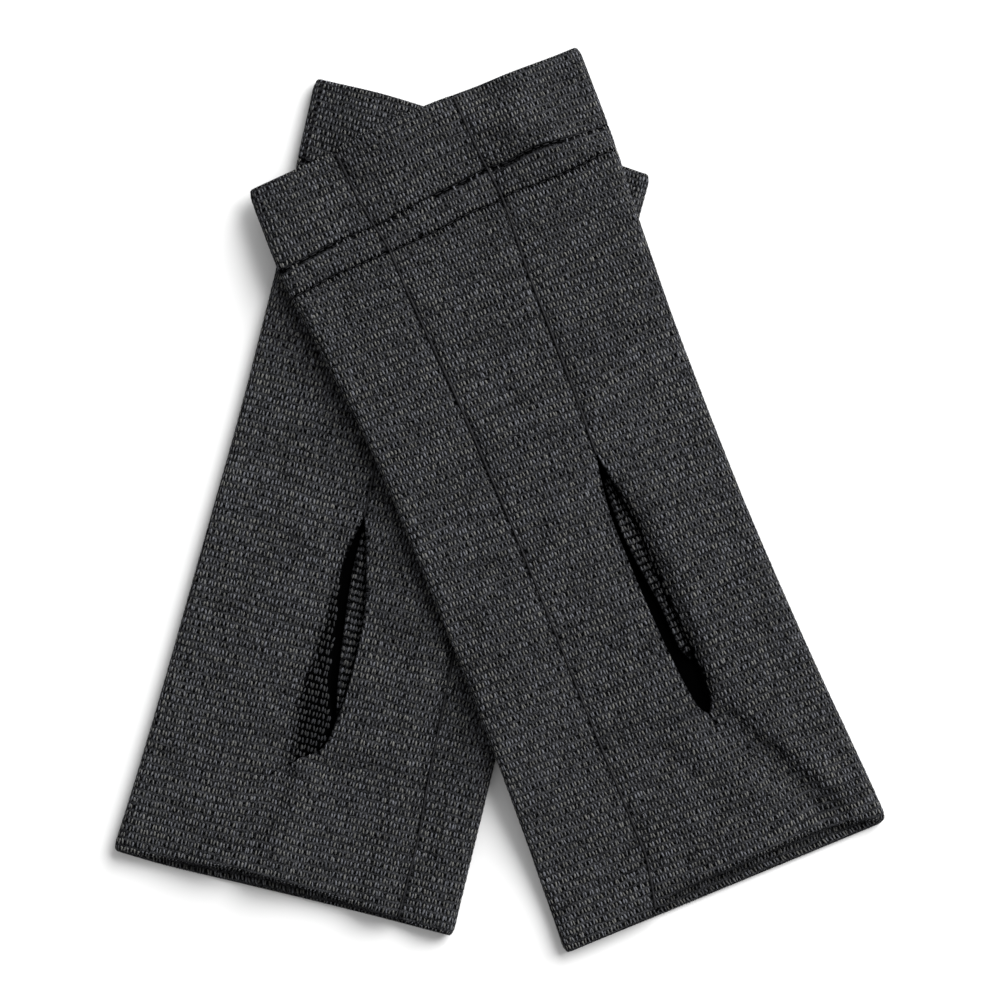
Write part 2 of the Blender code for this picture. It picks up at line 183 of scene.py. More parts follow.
# The cuff's sewn lines, and how far the mesh's stations follow them
TOPSTITCH_AT = 19.54
TOPSTITCH_REACH = 3.5
JOINING_REACH = 4.0
CUFF_SHIFT_STARTS = 5.0
CUFF_SHIFT_FULL = 18.5
CUFF_SHIFT_HOLDS = 28.5
CUFF_SHIFT_ENDS = 48.0
CUFF_TRIM_REACH = 16.0
THUMB_SEAM_FADE = 3.0
FOLD_GROOVE = 0.15
FACING_CLEAR = 0.15

# How far the loops go on inside the turned edges
SHOWN_INSIDE_HEM = 12.0
SHOWN_INSIDE_CUFF = 9.0
SHOWN_INSIDE_FACING = 0.0

# Paths of the stitches
UPPER_PATH_POINTS = 160
FOLD_PATH_POINTS = 14
SEAM_PATH_STEP = 0.8
SEAM_ENDS = 2.0

# The least width that a cut's measure is raised to
LEAST_CUT = 10.0

# Rows of the tables. A mouth is where the upper wall stands open at an end, and a fold is a soft
# ridge or trough between two places. A lip roll is how far the back panel's lip is tucked under
# its edge and drops, and how strong and how wide its painted shade is beside the thumb opening. A
# trim moves an end's edge, and a row bend draws the knit's rows along the tube beside a crease.
Outline = namedtuple("Outline", "along left right")
Seam = namedtuple("Seam", "along across")
ThumbSeam = namedtuple("ThumbSeam", "along across open")
FacingEdge = namedtuple("FacingEdge", "along across")
Hem = namedtuple("Hem", "across along")
Mouth = namedtuple("Mouth", "centre half_width gape deep fade")
Fold = namedtuple("Fold", "panel along_a across_a along_b across_b height reach")
LipRoll = namedtuple("LipRoll", "along tuck drop reach shade dim")
Trim = namedtuple("Trim", "across along")
StitchLine = namedtuple("StitchLine", "across along")
RowBend = namedtuple("RowBend", "along across lift reach_along reach_across")

# The form of each warmer, in its own frame; cuff_centre and turn place it in the pair
TOP = dict(
    name="top",
    cuff_centre=(-21.955, 99.502),
    turn=21.96,
    cuff_slant=0.033,
    hand_slant=0.0091,
    thumb_side=1,
    slit=(98.0, 173.0),
    hem_end=216.2,
    outline=(
        Outline(0.0, -47.6, 46.3),
        Outline(18.0, -48.0, 45.9),
        Outline(44.0, -45.9, 44.1),
        Outline(83.0, -42.8, 42.5),
        Outline(122.0, -42.4, 42.1),
        Outline(161.0, -42.9, 43.0),
        Outline(206.0, -44.7, 45.2),
        Outline(216.2, -45.3, 45.6),
    ),
    long_seam=(
        Seam(0.0, -22.8),
        Seam(10.0, -22.0),
        Seam(18.5, -20.6),
        Seam(27.0, -19.2),
        Seam(40.0, -18.9),
        Seam(77.0, -17.2),
        Seam(122.0, -16.4),
        Seam(161.0, -16.5),
        Seam(200.0, -16.2),
        Seam(216.2, -19.2),
    ),
    thumb_seam=(
        ThumbSeam(0.0, 11.0, 0.0),
        ThumbSeam(17.0, 12.0, 0.0),
        ThumbSeam(27.0, 13.0, 0.0),
        ThumbSeam(50.0, 12.0, 0.0),
        ThumbSeam(83.0, 11.5, 0.0),
        ThumbSeam(98.0, 10.8, 0.0),
        ThumbSeam(105.0, 10.5, 1.8),
        ThumbSeam(113.0, 10.6, 4.1),
        ThumbSeam(122.0, 11.2, 5.9),
        ThumbSeam(135.0, 11.4, 6.0),
        ThumbSeam(148.0, 11.8, 6.0),
        ThumbSeam(156.0, 12.1, 5.6),
        ThumbSeam(165.0, 12.4, 4.6),
        ThumbSeam(170.0, 12.6, 3.2),
        ThumbSeam(173.0, 12.8, 0.0),
        ThumbSeam(177.0, 14.0, 0.0),
        ThumbSeam(182.0, 16.8, 0.0),
        ThumbSeam(195.0, 24.5, 0.0),
        ThumbSeam(206.0, 30.8, 0.0),
        ThumbSeam(216.2, 32.3, 0.0),
    ),
    facing=(
        FacingEdge(106.0, 9.9),
        FacingEdge(112.5, 9.5),
        FacingEdge(120.0, 9.3),
        FacingEdge(130.0, 10.1),
        FacingEdge(142.5, 11.5),
        FacingEdge(154.0, 12.0),
        FacingEdge(157.5, 13.4),
    ),
    facing_panel="back",
    hem=(
        Hem(-46.0, 215.9),
        Hem(-20.5, 215.5),
        Hem(-14.0, 212.6),
        Hem(-1.0, 211.6),
        Hem(24.0, 211.2),
        Hem(36.0, 212.8),
        Hem(45.0, 215.6),
    ),
    hand_mouth=Mouth(10.0, 32.0, 3.0, 8.0, 38.0),
    cuff_mouth=Mouth(28.0, 15.5, 5.8, 9.0, 24.0),
    folds=(
        Fold("both", 108.0, 3.0, 166.0, 5.0, 1.6, 17.0),
        Fold("both", 106.0, 22.0, 168.0, 24.0, 1.0, 15.0),
        Fold("back", 108.0, 18.5, 166.0, 20.0, 0.7, 6.0),
        Fold("back", 115.0, 14.0, 165.0, 15.5, -0.6, 6.0),
        Fold("both", 175.0, 14.5, 190.0, 22.5, -2.6, 6.0),
        Fold("both", 190.0, 22.5, 209.0, 33.0, -2.6, 6.0),
        Fold("both", 176.0, 24.5, 203.0, 37.0, 1.1, 7.5),
        Fold("both", 177.0, 6.0, 203.0, 21.0, 1.1, 8.0),
    ),
    lip_rolls=(
        LipRoll(98.0, 0.0, 0.0, 3.0, 0.0, 0.3),
        LipRoll(104.0, 0.0, 0.5, 2.5, 0.6, 0.5),
        LipRoll(112.0, 0.2, 1.4, 3.0, 0.75, 0.7),
        LipRoll(130.0, 0.6, 2.4, 4.0, 0.75, 1.3),
        LipRoll(148.0, 0.4, 2.6, 4.2, 0.75, 1.9),
        LipRoll(158.0, 0.0, 2.0, 3.4, 0.7, 1.5),
        LipRoll(168.0, 0.0, 1.3, 3.0, 0.6, 0.9),
        LipRoll(173.5, 0.0, 0.6, 4.0, 0.0, 0.5),
        LipRoll(180.0, 0.0, 0.0, 4.0, 0.0, 0.3),
    ),
    topstitch=(
        StitchLine(-47.0, 22.7),
        StitchLine(-27.0, 21.7),
        StitchLine(-19.5, 22.0),
        StitchLine(-13.6, 21.3),
        StitchLine(5.0, 20.4),
        StitchLine(12.0, 19.9),
        StitchLine(18.0, 20.5),
        StitchLine(24.0, 20.0),
        StitchLine(32.0, 20.8),
        StitchLine(44.0, 21.8),
    ),
    joining=(
        StitchLine(-47.0, 30.3),
        StitchLine(-34.0, 29.5),
        StitchLine(-6.0, 29.4),
        StitchLine(4.0, 28.6),
        StitchLine(9.8, 28.9),
        StitchLine(15.3, 28.2),
        StitchLine(24.0, 28.9),
        StitchLine(33.0, 29.0),
        StitchLine(41.0, 28.3),
        StitchLine(44.0, 28.7),
    ),
    cuff_shift=2.0,
    cuff_trim=(
        Trim(-46.0, 0.0),
        Trim(-27.0, -0.1),
        Trim(-12.0, -1.5),
        Trim(4.0, -1.6),
        Trim(19.0, -0.9),
        Trim(35.0, -0.2),
        Trim(45.0, 0.0),
    ),
    hem_trim=(
        Trim(-46.0, 0.0),
        Trim(46.0, 0.0),
    ),
    # Painted shade on the thumb facing: its least, and the width under the lip where it grows darkest
    facing_dim=0.3,
    facing_valley=2.6,
    row_bends=(
        RowBend(186.0, 14.0, -1.6, 16.0, 9.0),
        RowBend(198.0, 28.0, 2.2, 11.0, 6.0),
    ),
)

UNDER = dict(
    name="under",
    cuff_centre=(-4.655, 97.302),
    turn=-14.57,
    cuff_slant=-0.026,
    hand_slant=-0.0046,
    thumb_side=-1,
    slit=(105.0, 171.5),
    hem_end=206.8,
    outline=(
        Outline(0.0, -45.2, 45.7),
        Outline(18.0, -44.5, 45.4),
        Outline(44.0, -42.7, 44.0),
        Outline(83.0, -42.3, 43.4),
        Outline(122.0, -43.0, 43.9),
        Outline(161.0, -43.8, 44.9),
        Outline(195.0, -45.0, 45.4),
        Outline(206.8, -45.7, 45.7),
    ),
    long_seam=(
        Seam(0.0, 28.2),
        Seam(20.0, 26.3),
        Seam(27.0, 25.8),
        Seam(44.0, 24.8),
        Seam(77.0, 23.7),
        Seam(100.0, 24.6),
        Seam(135.0, 27.4),
        Seam(168.0, 29.3),
        Seam(187.0, 30.6),
        Seam(206.8, 30.7),
    ),
    thumb_seam=(
        ThumbSeam(0.0, -4.5, 0.0),
        ThumbSeam(17.0, -5.5, 0.0),
        ThumbSeam(27.0, -6.6, 0.0),
        ThumbSeam(50.0, -5.5, 0.0),
        ThumbSeam(83.0, -5.0, 0.0),
        ThumbSeam(105.0, -4.2, 0.0),
        ThumbSeam(113.0, -3.7, 3.5),
        ThumbSeam(121.0, -3.2, 6.7),
        ThumbSeam(129.0, -2.8, 9.6),
        ThumbSeam(142.0, -2.7, 11.2),
        ThumbSeam(152.0, -2.9, 11.6),
        ThumbSeam(160.0, -3.4, 10.9),
        ThumbSeam(165.0, -3.4, 9.3),
        ThumbSeam(168.5, -3.9, 6.6),
        ThumbSeam(171.5, -5.0, 0.0),
        ThumbSeam(175.0, -8.8, 0.0),
        ThumbSeam(180.0, -12.2, 0.0),
        ThumbSeam(185.0, -13.9, 0.0),
        ThumbSeam(191.0, -14.6, 0.0),
        ThumbSeam(206.8, -14.4, 0.0),
    ),
    facing=(
        FacingEdge(110.0, -3.7),
        FacingEdge(118.0, -3.7),
        FacingEdge(129.0, -2.8),
        FacingEdge(142.0, -1.1),
        FacingEdge(152.0, 0.4),
        FacingEdge(158.0, 1.9),
    ),
    facing_panel="palm",
    hem=(
        Hem(-45.0, 206.5),
        Hem(-34.0, 205.2),
        Hem(-23.5, 204.2),
        Hem(-14.4, 203.3),
        Hem(-1.0, 203.6),
        Hem(12.0, 204.4),
        Hem(30.0, 206.0),
        Hem(45.0, 206.6),
    ),
    hand_mouth=Mouth(-10.0, 32.0, 3.0, 8.0, 38.0),
    cuff_mouth=Mouth(-28.0, 14.0, 3.9, 8.0, 17.0),
    folds=(
        Fold("both", 112.0, 9.0, 163.0, 10.0, 1.6, 16.0),
        Fold("both", 115.0, -20.0, 165.0, -20.0, 1.0, 13.0),
        Fold("both", 175.0, -15.0, 204.0, -20.0, 1.0, 6.0),
        Fold("both", 177.0, -7.5, 204.0, -12.5, -2.0, 5.0),
        Fold("both", 178.0, 2.0, 203.0, -3.0, 1.0, 8.0),
        Fold("palm", 132.0, 22.0, 205.0, 26.0, 1.9, 9.0),
        Fold("both", 128.0, 29.8, 180.0, 31.8, -2.4, 4.6),
        Fold("both", 180.0, 31.8, 206.5, 32.3, -3.2, 4.6),
    ),
    lip_rolls=(
        LipRoll(105.0, 0.0, 0.0, 3.0, 0.0, 0.3),
        LipRoll(117.0, 0.2, 0.6, 2.0, 0.6, 0.9),
        LipRoll(128.5, 2.7, 2.0, 4.4, 0.78, 2.7),
        LipRoll(140.0, 5.0, 2.8, 7.2, 0.8, 5.3),
        LipRoll(152.0, 7.4, 3.2, 9.6, 0.82, 8.9),
        LipRoll(160.0, 9.9, 3.4, 11.0, 0.84, 11.6),
        LipRoll(165.0, 9.0, 3.3, 10.4, 0.86, 10.6),
        LipRoll(168.5, 6.6, 2.8, 8.4, 0.84, 7.6),
        LipRoll(171.2, 0.0, 1.6, 4.4, 0.7, 2.4),
        LipRoll(173.5, 0.0, 0.8, 3.5, 0.0, 1.0),
        LipRoll(180.0, 0.0, 0.0, 4.0, 0.0, 0.3),
    ),
    topstitch=(
        StitchLine(-44.0, 21.0),
        StitchLine(-20.0, 21.5),
        StitchLine(10.0, 20.9),
        StitchLine(44.0, 21.4),
    ),
    joining=(
        StitchLine(-44.0, 28.6),
        StitchLine(-10.0, 28.1),
        StitchLine(20.0, 28.8),
        StitchLine(44.0, 28.3),
    ),
    cuff_shift=1.4,
    cuff_trim=(
        Trim(-45.0, 0.0),
        Trim(-38.0, -0.4),
        Trim(-20.0, -0.8),
        Trim(0.0, -0.7),
        Trim(30.0, -0.5),
        Trim(45.0, 0.2),
    ),
    hem_trim=(
        Trim(-45.0, 0.2),
        Trim(-33.0, 0.5),
        Trim(-11.0, 0.0),
        Trim(10.0, -0.5),
        Trim(31.0, -0.75),
        Trim(45.0, -0.75),
    ),
    # Painted shade on the thumb facing: its least, and the width under the lip where it grows darkest
    facing_dim=0.15,
    facing_valley=0.9,
    row_bends=(
        RowBend(186.0, -8.0, 1.4, 12.0, 7.0),
        RowBend(165.0, -14.0, 1.0, 10.0, 8.0),
    ),
)


def smooth_step(share):
    """A soft rise from 0 to 1."""
    share = np.clip(share, 0.0, 1.0)
    return share * share * (3.0 - 2.0 * share)


class SmoothColumn:
    """One column of a table, read smoothly between its rows and never past their values."""

    def __init__(self, rows, place, value):
        self.places = np.array([getattr(row, place) for row in rows])
        self.values = np.array([getattr(row, value) for row in rows])
        rises = np.diff(self.values) / np.diff(self.places)
        before, after = rises[:-1], rises[1:]
        same_way = before * after > 0.0
        total = np.where(same_way, before + after, 1.0)
        between = np.where(same_way, 2.0 * before * after / total, 0.0)
        self.slopes = np.concatenate(([rises[0]], between, [rises[-1]]))

    def __call__(self, at):
        at = np.clip(at, self.places[0], self.places[-1])
        i = np.clip(np.searchsorted(self.places, at, side="right") - 1, 0, len(self.places) - 2)
        width = self.places[i + 1] - self.places[i]
        x = (at - self.places[i]) / width
        fall = (1.0 - x) ** 2
        rise = x * x
        return (
            self.values[i] * fall * (1.0 + 2.0 * x)
            + self.slopes[i] * width * x * fall
            + self.values[i + 1] * rise * (3.0 - 2.0 * x)
            - self.slopes[i + 1] * width * rise * (1.0 - x)
        )


class SoftNoise:
    """Smooth uneven values from -1 to 1, read from a seeded square of random numbers."""

    SIDE = 64

    def __init__(self, seed):
        self.grid = np.random.default_rng(seed).uniform(-1.0, 1.0, (self.SIDE, self.SIDE))

    def __call__(self, x, y):
        x, y = np.broadcast_arrays(np.asarray(x, float), np.asarray(y, float))
        left, low = np.floor(x).astype(int), np.floor(y).astype(int)
        part_x, part_y = smooth_step(x - left), smooth_step(y - low)
        corner = [
            self.grid[(left + i) % self.SIDE, (low + j) % self.SIDE] for i in (0, 1) for j in (0, 1)
        ]
        lower = corner[0] * (1.0 - part_x) + corner[2] * part_x
        upper = corner[1] * (1.0 - part_x) + corner[3] * part_x
        return lower * (1.0 - part_y) + upper * part_y


class Warmer:
    """The form of one warmer: its outline, seams, folds, mouths and puckers."""

    # Soft unevenness of the cloth, and puckers along the sewn lines
    WAVE = 0.16
    WAVE_LENGTH = (17.0, 26.0)
    PUCKER = 0.22
    PUCKER_LENGTH = 3.1
    PUCKER_REACH = 3.6
    GROOVE_WIDTH = 0.34
    TOPSTITCH_DEPTH = 0.5
    JOINING_DEPTH = 0.25
    SEAM_DIP = 0.55
    SEAM_DIP_REACH = 1.5
    BETWEEN_LINES = 23.0
    LIP_CURVE = 1.3
    LIP_MARGIN = 1.0

    def __init__(self, sizes, lies_on=None):
        self.sizes = sizes
        self.name = sizes["name"]
        self.lies_on = lies_on
        self.hem_end = sizes["hem_end"]
        self.slit = sizes["slit"]
        self.thumb_side = sizes["thumb_side"]
        self.left = SmoothColumn(sizes["outline"], "along", "left")
        self.right = SmoothColumn(sizes["outline"], "along", "right")
        self.long_seam = SmoothColumn(sizes["long_seam"], "along", "across")
        self.thumb_seam = SmoothColumn(sizes["thumb_seam"], "along", "across")
        self.thumb_open = SmoothColumn(sizes["thumb_seam"], "along", "open")
        self.facing_edge = SmoothColumn(sizes["facing"], "along", "across")
        self.upper_hem = SmoothColumn(sizes["hem"], "across", "along")
        self.roll_tuck = SmoothColumn(sizes["lip_rolls"], "along", "tuck")
        self.roll_drop = SmoothColumn(sizes["lip_rolls"], "along", "drop")
        self.roll_reach = SmoothColumn(sizes["lip_rolls"], "along", "reach")
        self.roll_shade = SmoothColumn(sizes["lip_rolls"], "along", "shade")
        self.roll_dim = SmoothColumn(sizes["lip_rolls"], "along", "dim")
        self.cuff_trim = SmoothColumn(sizes["cuff_trim"], "across", "along")
        self.hem_trim = SmoothColumn(sizes["hem_trim"], "across", "along")
        self.cuff_shift = sizes["cuff_shift"]
        self.topstitch = SmoothColumn(sizes["topstitch"], "across", "along")
        self.joining = SmoothColumn(sizes["joining"], "across", "along")
        self.centre = sizes["cuff_centre"]
        angle = math.radians(sizes["turn"])
        self.cos, self.sin = math.cos(angle), math.sin(angle)
        seed = len(self.name)
        self.waves = SoftNoise(seed)
        self.puckers = SoftNoise(seed + 1)

    def sides(self, along):
        """Left and right side folds, drawn in at the rounded corners of the cuff and the hem."""
        from_end = np.minimum(along, self.hem_end - along)
        short = CORNER_RADIUS - np.clip(from_end, 0.0, CORNER_RADIUS)
        inset = CORNER_RADIUS - np.sqrt(CORNER_RADIUS**2 - short**2)
        return self.left(along) + inset, self.right(along) - inset

    def half_gap(self, seam, along):
        """Half the seam's gap, measured across, so that a slanting seam keeps its true gap."""
        slant = seam(along + 0.5) - seam(along - 0.5)
        return 0.5 * SEAM_GAP * np.hypot(1.0, slant)

    def lip(self, panel, along):
        """Edge of the palm or the back panel beside the thumb opening, without the seam's gap."""
        side = self.thumb_side if panel == "back" else -self.thumb_side
        return self.thumb_seam(along) + 0.5 * side * self.thumb_open(along)

    def seam_edges(self, along):
        """Edges of the palm panel and of the back panel's two flaps, from left to right."""
        long_gap = self.half_gap(self.long_seam, along)
        thumb_gap = self.half_gap(self.thumb_seam, along)
        side = self.thumb_side
        long_palm = self.long_seam(along) + side * long_gap
        long_back = self.long_seam(along) - side * long_gap
        thumb_palm = self.lip("palm", along) - side * thumb_gap
        tuck = self.roll_tuck(along)
        thumb_back = self.lip("back", along) + side * (thumb_gap - tuck)
        edges = (long_back, long_palm, thumb_palm, thumb_back)
        return edges if side > 0 else edges[::-1]

    def mouth_rise(self, mouth, from_end, across):
        """How far the upper wall stands open near one end of the tube."""
        off = np.clip((across - mouth.centre) / mouth.half_width, -1.0, 1.0)
        open_share = 1.0 - smooth_step((from_end - mouth.deep) / mouth.fade)
        return mouth.gape * open_share * np.cos(0.5 * math.pi * off) ** 2

    def fold_rise(self, fold, along, across):
        """Height that one soft ridge or trough adds at a place."""
        run_across = fold.across_b - fold.across_a
        run_along = fold.along_b - fold.along_a
        from_across, from_along = across - fold.across_a, along - fold.along_a
        share = (from_across * run_across + from_along * run_along) / (run_across**2 + run_along**2)
        share = np.clip(share, 0.0, 1.0)
        off = np.hypot(from_across - run_across * share, from_along - run_along * share) / fold.reach
        return fold.height * np.clip(1.0 - off * off, 0.0, 1.0) ** 2

    def rise(self, along, across, panel):
        """What the mouths and the folds add to the upper wall's height on one panel."""
        total = self.mouth_rise(self.sizes["hand_mouth"], self.hem_end - along, across)
        total = total + self.mouth_rise(self.sizes["cuff_mouth"], along, across)
        for fold in self.sizes["folds"]:
            if fold.panel in ("both", panel) or (panel == "cover" and fold.height > 0.0):
                total = total + self.fold_rise(fold, along, across)
        return np.maximum(total, LEAST_AIR - AIR)

    def side_fade(self, along, across):
        """Fades the folds out where the upper wall turns into a side fold."""
        left, right = self.sides(along)
        inside = np.minimum(across - left, right - across) - TURN
        return smooth_step(inside / SIDE_FADE)

    def from_lip(self, along, across):
        """How far a place of the back panel lies from its rolled lip, and whether on that flap."""
        edge = self.lip("back", along) - self.thumb_side * self.roll_tuck(along)
        inside = self.thumb_side * (across - edge)
        return inside, inside > -self.LIP_MARGIN

    def lip_roll(self, along, across, panel):
        """How far the back panel rolls down into the thumb opening."""
        if panel != "back":
            return 0.0
        inside, on_flap = self.from_lip(along, across)
        near = 1.0 - smooth_step(inside / self.roll_reach(along))
        return self.roll_drop(along) * on_flap * near**self.LIP_CURVE

    def painted_lip_shade(self, along, across, panel):
        """How much painted shade darkens the rolled lip of the back panel in the thumb opening, where
        the shallow roll casts too little shade of its own.
        """
        if panel != "back":
            return 0.0
        inside, on_flap = self.from_lip(along, across)
        past = (inside / self.roll_dim(along) - DIM_HOLDS) / (1.0 - DIM_HOLDS)
        return self.roll_shade(along) * on_flap * (1.0 - smooth_step(past))

    def painted_facing_shade(self, along, across):
        """Painted shade on the facing: more where it goes under its panel's lip."""
        valley, dim = self.sizes["facing_valley"], self.sizes["facing_dim"]
        lip = self.lip(self.sizes["facing_panel"], along)
        under_lip = smooth_step((across - lip + valley) / valley)
        return dim + (FACING_DARKEST_PAINTED - dim) * under_lip

    def edge_shows(self, along, panel, way):
        """1 where a panel's edge shows as a line, and 0 where the thumb seam is drawn flat again."""
        to_thumb = self.thumb_side if panel == "back" else -self.thumb_side
        if way * to_thumb < 0.0:
            return np.ones_like(along)
        return 1.0 - smooth_step((along - self.slit[1]) / THUMB_SEAM_FADE)

    def groove(self, along, across):
        """How far a place lies in one of the cuff's two sewn lines, from 0 to 1."""
        topstitch = np.exp(-(((along - self.topstitch(across)) / self.GROOVE_WIDTH) ** 2))
        joining = np.exp(-(((along - self.joining(across)) / self.GROOVE_WIDTH) ** 2))
        return np.maximum(topstitch, joining)

    def sewn_relief(self, along, across):
        """Grooves of the cuff's two sewn lines, the dip beside each long seam, and their puckers."""
        relief = 0.0
        nearest = np.full(np.broadcast(along, across).shape, math.inf)
        lines = (self.topstitch, self.TOPSTITCH_DEPTH), (self.joining, self.JOINING_DEPTH)
        for line, depth in lines:
            off = along - line(across)
            relief = relief - depth * np.exp(-((off / self.GROOVE_WIDTH) ** 2))
            nearest = np.minimum(nearest, np.abs(off))
        past = 1.0 - smooth_step((along - self.slit[1]) / THUMB_SEAM_FADE)
        closed = past * (1.0 - smooth_step(self.thumb_open(along)))
        for seam, share in ((self.long_seam, 1.0), (self.thumb_seam, closed)):
            off = across - seam(along)
            relief = relief - share * self.SEAM_DIP * np.exp(-((off / self.SEAM_DIP_REACH) ** 2))
        pucker = self.puckers(across / self.PUCKER_LENGTH, np.sign(along - self.BETWEEN_LINES))
        return relief + self.PUCKER * pucker * np.exp(-((nearest / self.PUCKER_REACH) ** 2))

    def upper_height(self, along, across, panel):
        """Outer height of the upper wall over the surface that the lower wall lies on."""
        rise = self.rise(along, across, panel)
        if panel != "cover":
            long_wave, short_wave = self.WAVE_LENGTH
            rise = rise + self.WAVE * self.waves(across / long_wave, along / short_wave)
            rise = rise + self.sewn_relief(along, across)
            rise = rise - self.lip_roll(along, across, panel)
        rise = np.maximum(rise, LEAST_AIR - AIR)
        return TUBE_HEIGHT + rise * self.side_fade(along, across)

    def cover_height(self, x, y):
        """Height that a cloth laid over this warmer takes at a place of the pair."""
        off_x, off_y = x - self.centre[0], y - self.centre[1]
        across = off_x * self.cos + off_y * self.sin
        down = off_x * self.sin - off_y * self.cos
        along = down + self.slant(down) * across
        on_along = np.clip(along, 0.0, self.hem_end)
        left, right = self.left(on_along), self.right(on_along)
        on_across = np.clip(across, left, right)
        outside = np.hypot((along - on_along) * LAY_END_RATIO, across - on_across)
        inside = np.minimum(
            np.minimum(across - left, right - across), np.minimum(along, self.hem_end - along)
        )
        depth = np.where(outside > 0.0, -outside, inside)
        height = self.upper_height(on_along, on_across, "cover")
        reach = LAY_SLOPE * height
        return (height + LAY_GAP) * smooth_step((depth + reach) / (reach + LAY_OVERHANG))

    def slant(self, along):
        """Slope of the stations against the tube's axis, from the cuff's to the hem's."""
        share = along / self.hem_end
        return self.sizes["cuff_slant"] * (1.0 - share) + self.sizes["hand_slant"] * share

    def hem_place(self, across, level):
        """Place of the hem's edge: the upper wall's hem is set back from the lower wall's."""
        return self.hem_end + self.hem_trim(across) + (self.upper_hem(across) - self.hem_end) * level

    def true_along(self, along, across, level):
        """Place along the tube of a station: it follows the sewn lines and the hem's set-back."""
        start = self.slit[1] + HEM_SET_BACK_START
        share = np.clip((along - start) / (self.hem_end - start), 0.0, 1.0)
        set_back = share * (self.hem_place(across, level) - self.hem_end)
        trimmed = (1.0 - smooth_step(along / CUFF_TRIM_REACH)) * self.cuff_trim(across)
        return along + set_back + trimmed + self.drawn(along, across)

    def drawn(self, along, across):
        """How far the sewn lines draw a station, and the rows beside them, along the tube."""
        shift = smooth_step((along - CUFF_SHIFT_STARTS) / (CUFF_SHIFT_FULL - CUFF_SHIFT_STARTS))
        ends = smooth_step((along - CUFF_SHIFT_HOLDS) / (CUFF_SHIFT_ENDS - CUFF_SHIFT_HOLDS))
        drawn = self.cuff_shift * shift * (1.0 - ends)
        by_topstitch = np.exp(-(((along - TOPSTITCH_AT) / TOPSTITCH_REACH) ** 2))
        by_joining = np.exp(-(((along - CUFF_DEPTH) / JOINING_REACH) ** 2))
        drawn = drawn + by_topstitch * (self.topstitch(across) - TOPSTITCH_AT - self.cuff_shift)
        return drawn + by_joining * (self.joining(across) - CUFF_DEPTH - self.cuff_shift)

    def row_bend(self, along, across):
        """How far the knit's rows are drawn along the tube beside a crease."""
        bend = 0.0
        for row in self.sizes["row_bends"]:
            off_along = (along - row.along) / row.reach_along
            off_across = (across - row.across) / row.reach_across
            bend = bend + row.lift * np.exp(-(off_along**2) - off_across**2)
        return bend

    def points(self, along, across, height):
        """Places in the pair, in metres."""
        along, across, height = np.broadcast_arrays(along, across, height)
        down = along - self.slant(along) * across
        x = self.centre[0] + across * self.cos + down * self.sin
        y = self.centre[1] + across * self.sin - down * self.cos
        lift = self.lies_on.cover_height(x, y) if self.lies_on else 0.0
        return np.stack((x, y, height + lift), axis=-1) * MM


Ring = namedtuple("Ring", "along tip depth beyond")


def steps(start, end, step):
    """Evenly spaced places of about one step from start to end, both included."""
    return np.linspace(start, end, max(2, round(abs(end - start) / step) + 1))


def ring_of(stations, edge_turn, far_turn):
    """The closed way round a wall: out from its seam, round its turned edge and back inside.

    along is the station, tip how far past the turn's start a place is, as a share of the turn,
    depth runs from 0 on the outer face to 1 on the inner one, and beyond is the chart's length
    past the turned edge.
    """
    start, end = stations[0], stations[-1]
    way = math.copysign(1.0, end - start)
    along, tip, depth, beyond = [], [], [], []

    def add(place, share, deep, past):
        """Keeps one place of the ring."""
        along.append(place)
        tip.append(share)
        depth.append(deep)
        beyond.append(past)

    quarter = [0.5 * math.pi * i / EDGE_PIECES for i in range(EDGE_PIECES)]
    rounded = [
        (start + way * edge_turn * (1.0 - math.cos(angle)), EDGE_DIP * (1.0 - math.sin(angle)))
        for angle in quarter
    ]
    for place, dip in rounded:
        add(place, 0.0, dip, 0.0)
    flat = [start + way * edge_turn]
    flat += [place for place in stations if way * (place - start) > FLAT_FROM * edge_turn]
    for place in flat:
        add(place, 0.0, 0.0, 0.0)
    for i in range(1, TURN_PIECES):
        angle = math.pi * i / TURN_PIECES
        add(end, math.sin(angle), 0.5 * (1.0 - math.cos(angle)), far_turn * angle)
    for place in reversed(flat):
        add(place, 0.0, 1.0, far_turn * math.pi + abs(end - place))
    for place, dip in reversed(rounded):
        add(place, 0.0, 1.0 - dip, far_turn * math.pi + abs(end - start))
    return Ring(*(np.array(values) for values in (along, tip, depth, beyond)))


def near_lines(stations, lines, offsets):
    """Adds stations close beside the sewn lines."""
    extra = [line + off for line in lines for off in offsets]
    inside = [place for place in extra if min(stations) < place < max(stations)]
    merged = sorted(set(np.round(np.concatenate((stations, inside)), 3)))
    kept = [merged[0]]
    for place in merged[1:]:
        if place - kept[-1] > LEAST_STEP:
            kept.append(place)
    kept[-1] = merged[-1]
    return np.array(kept)


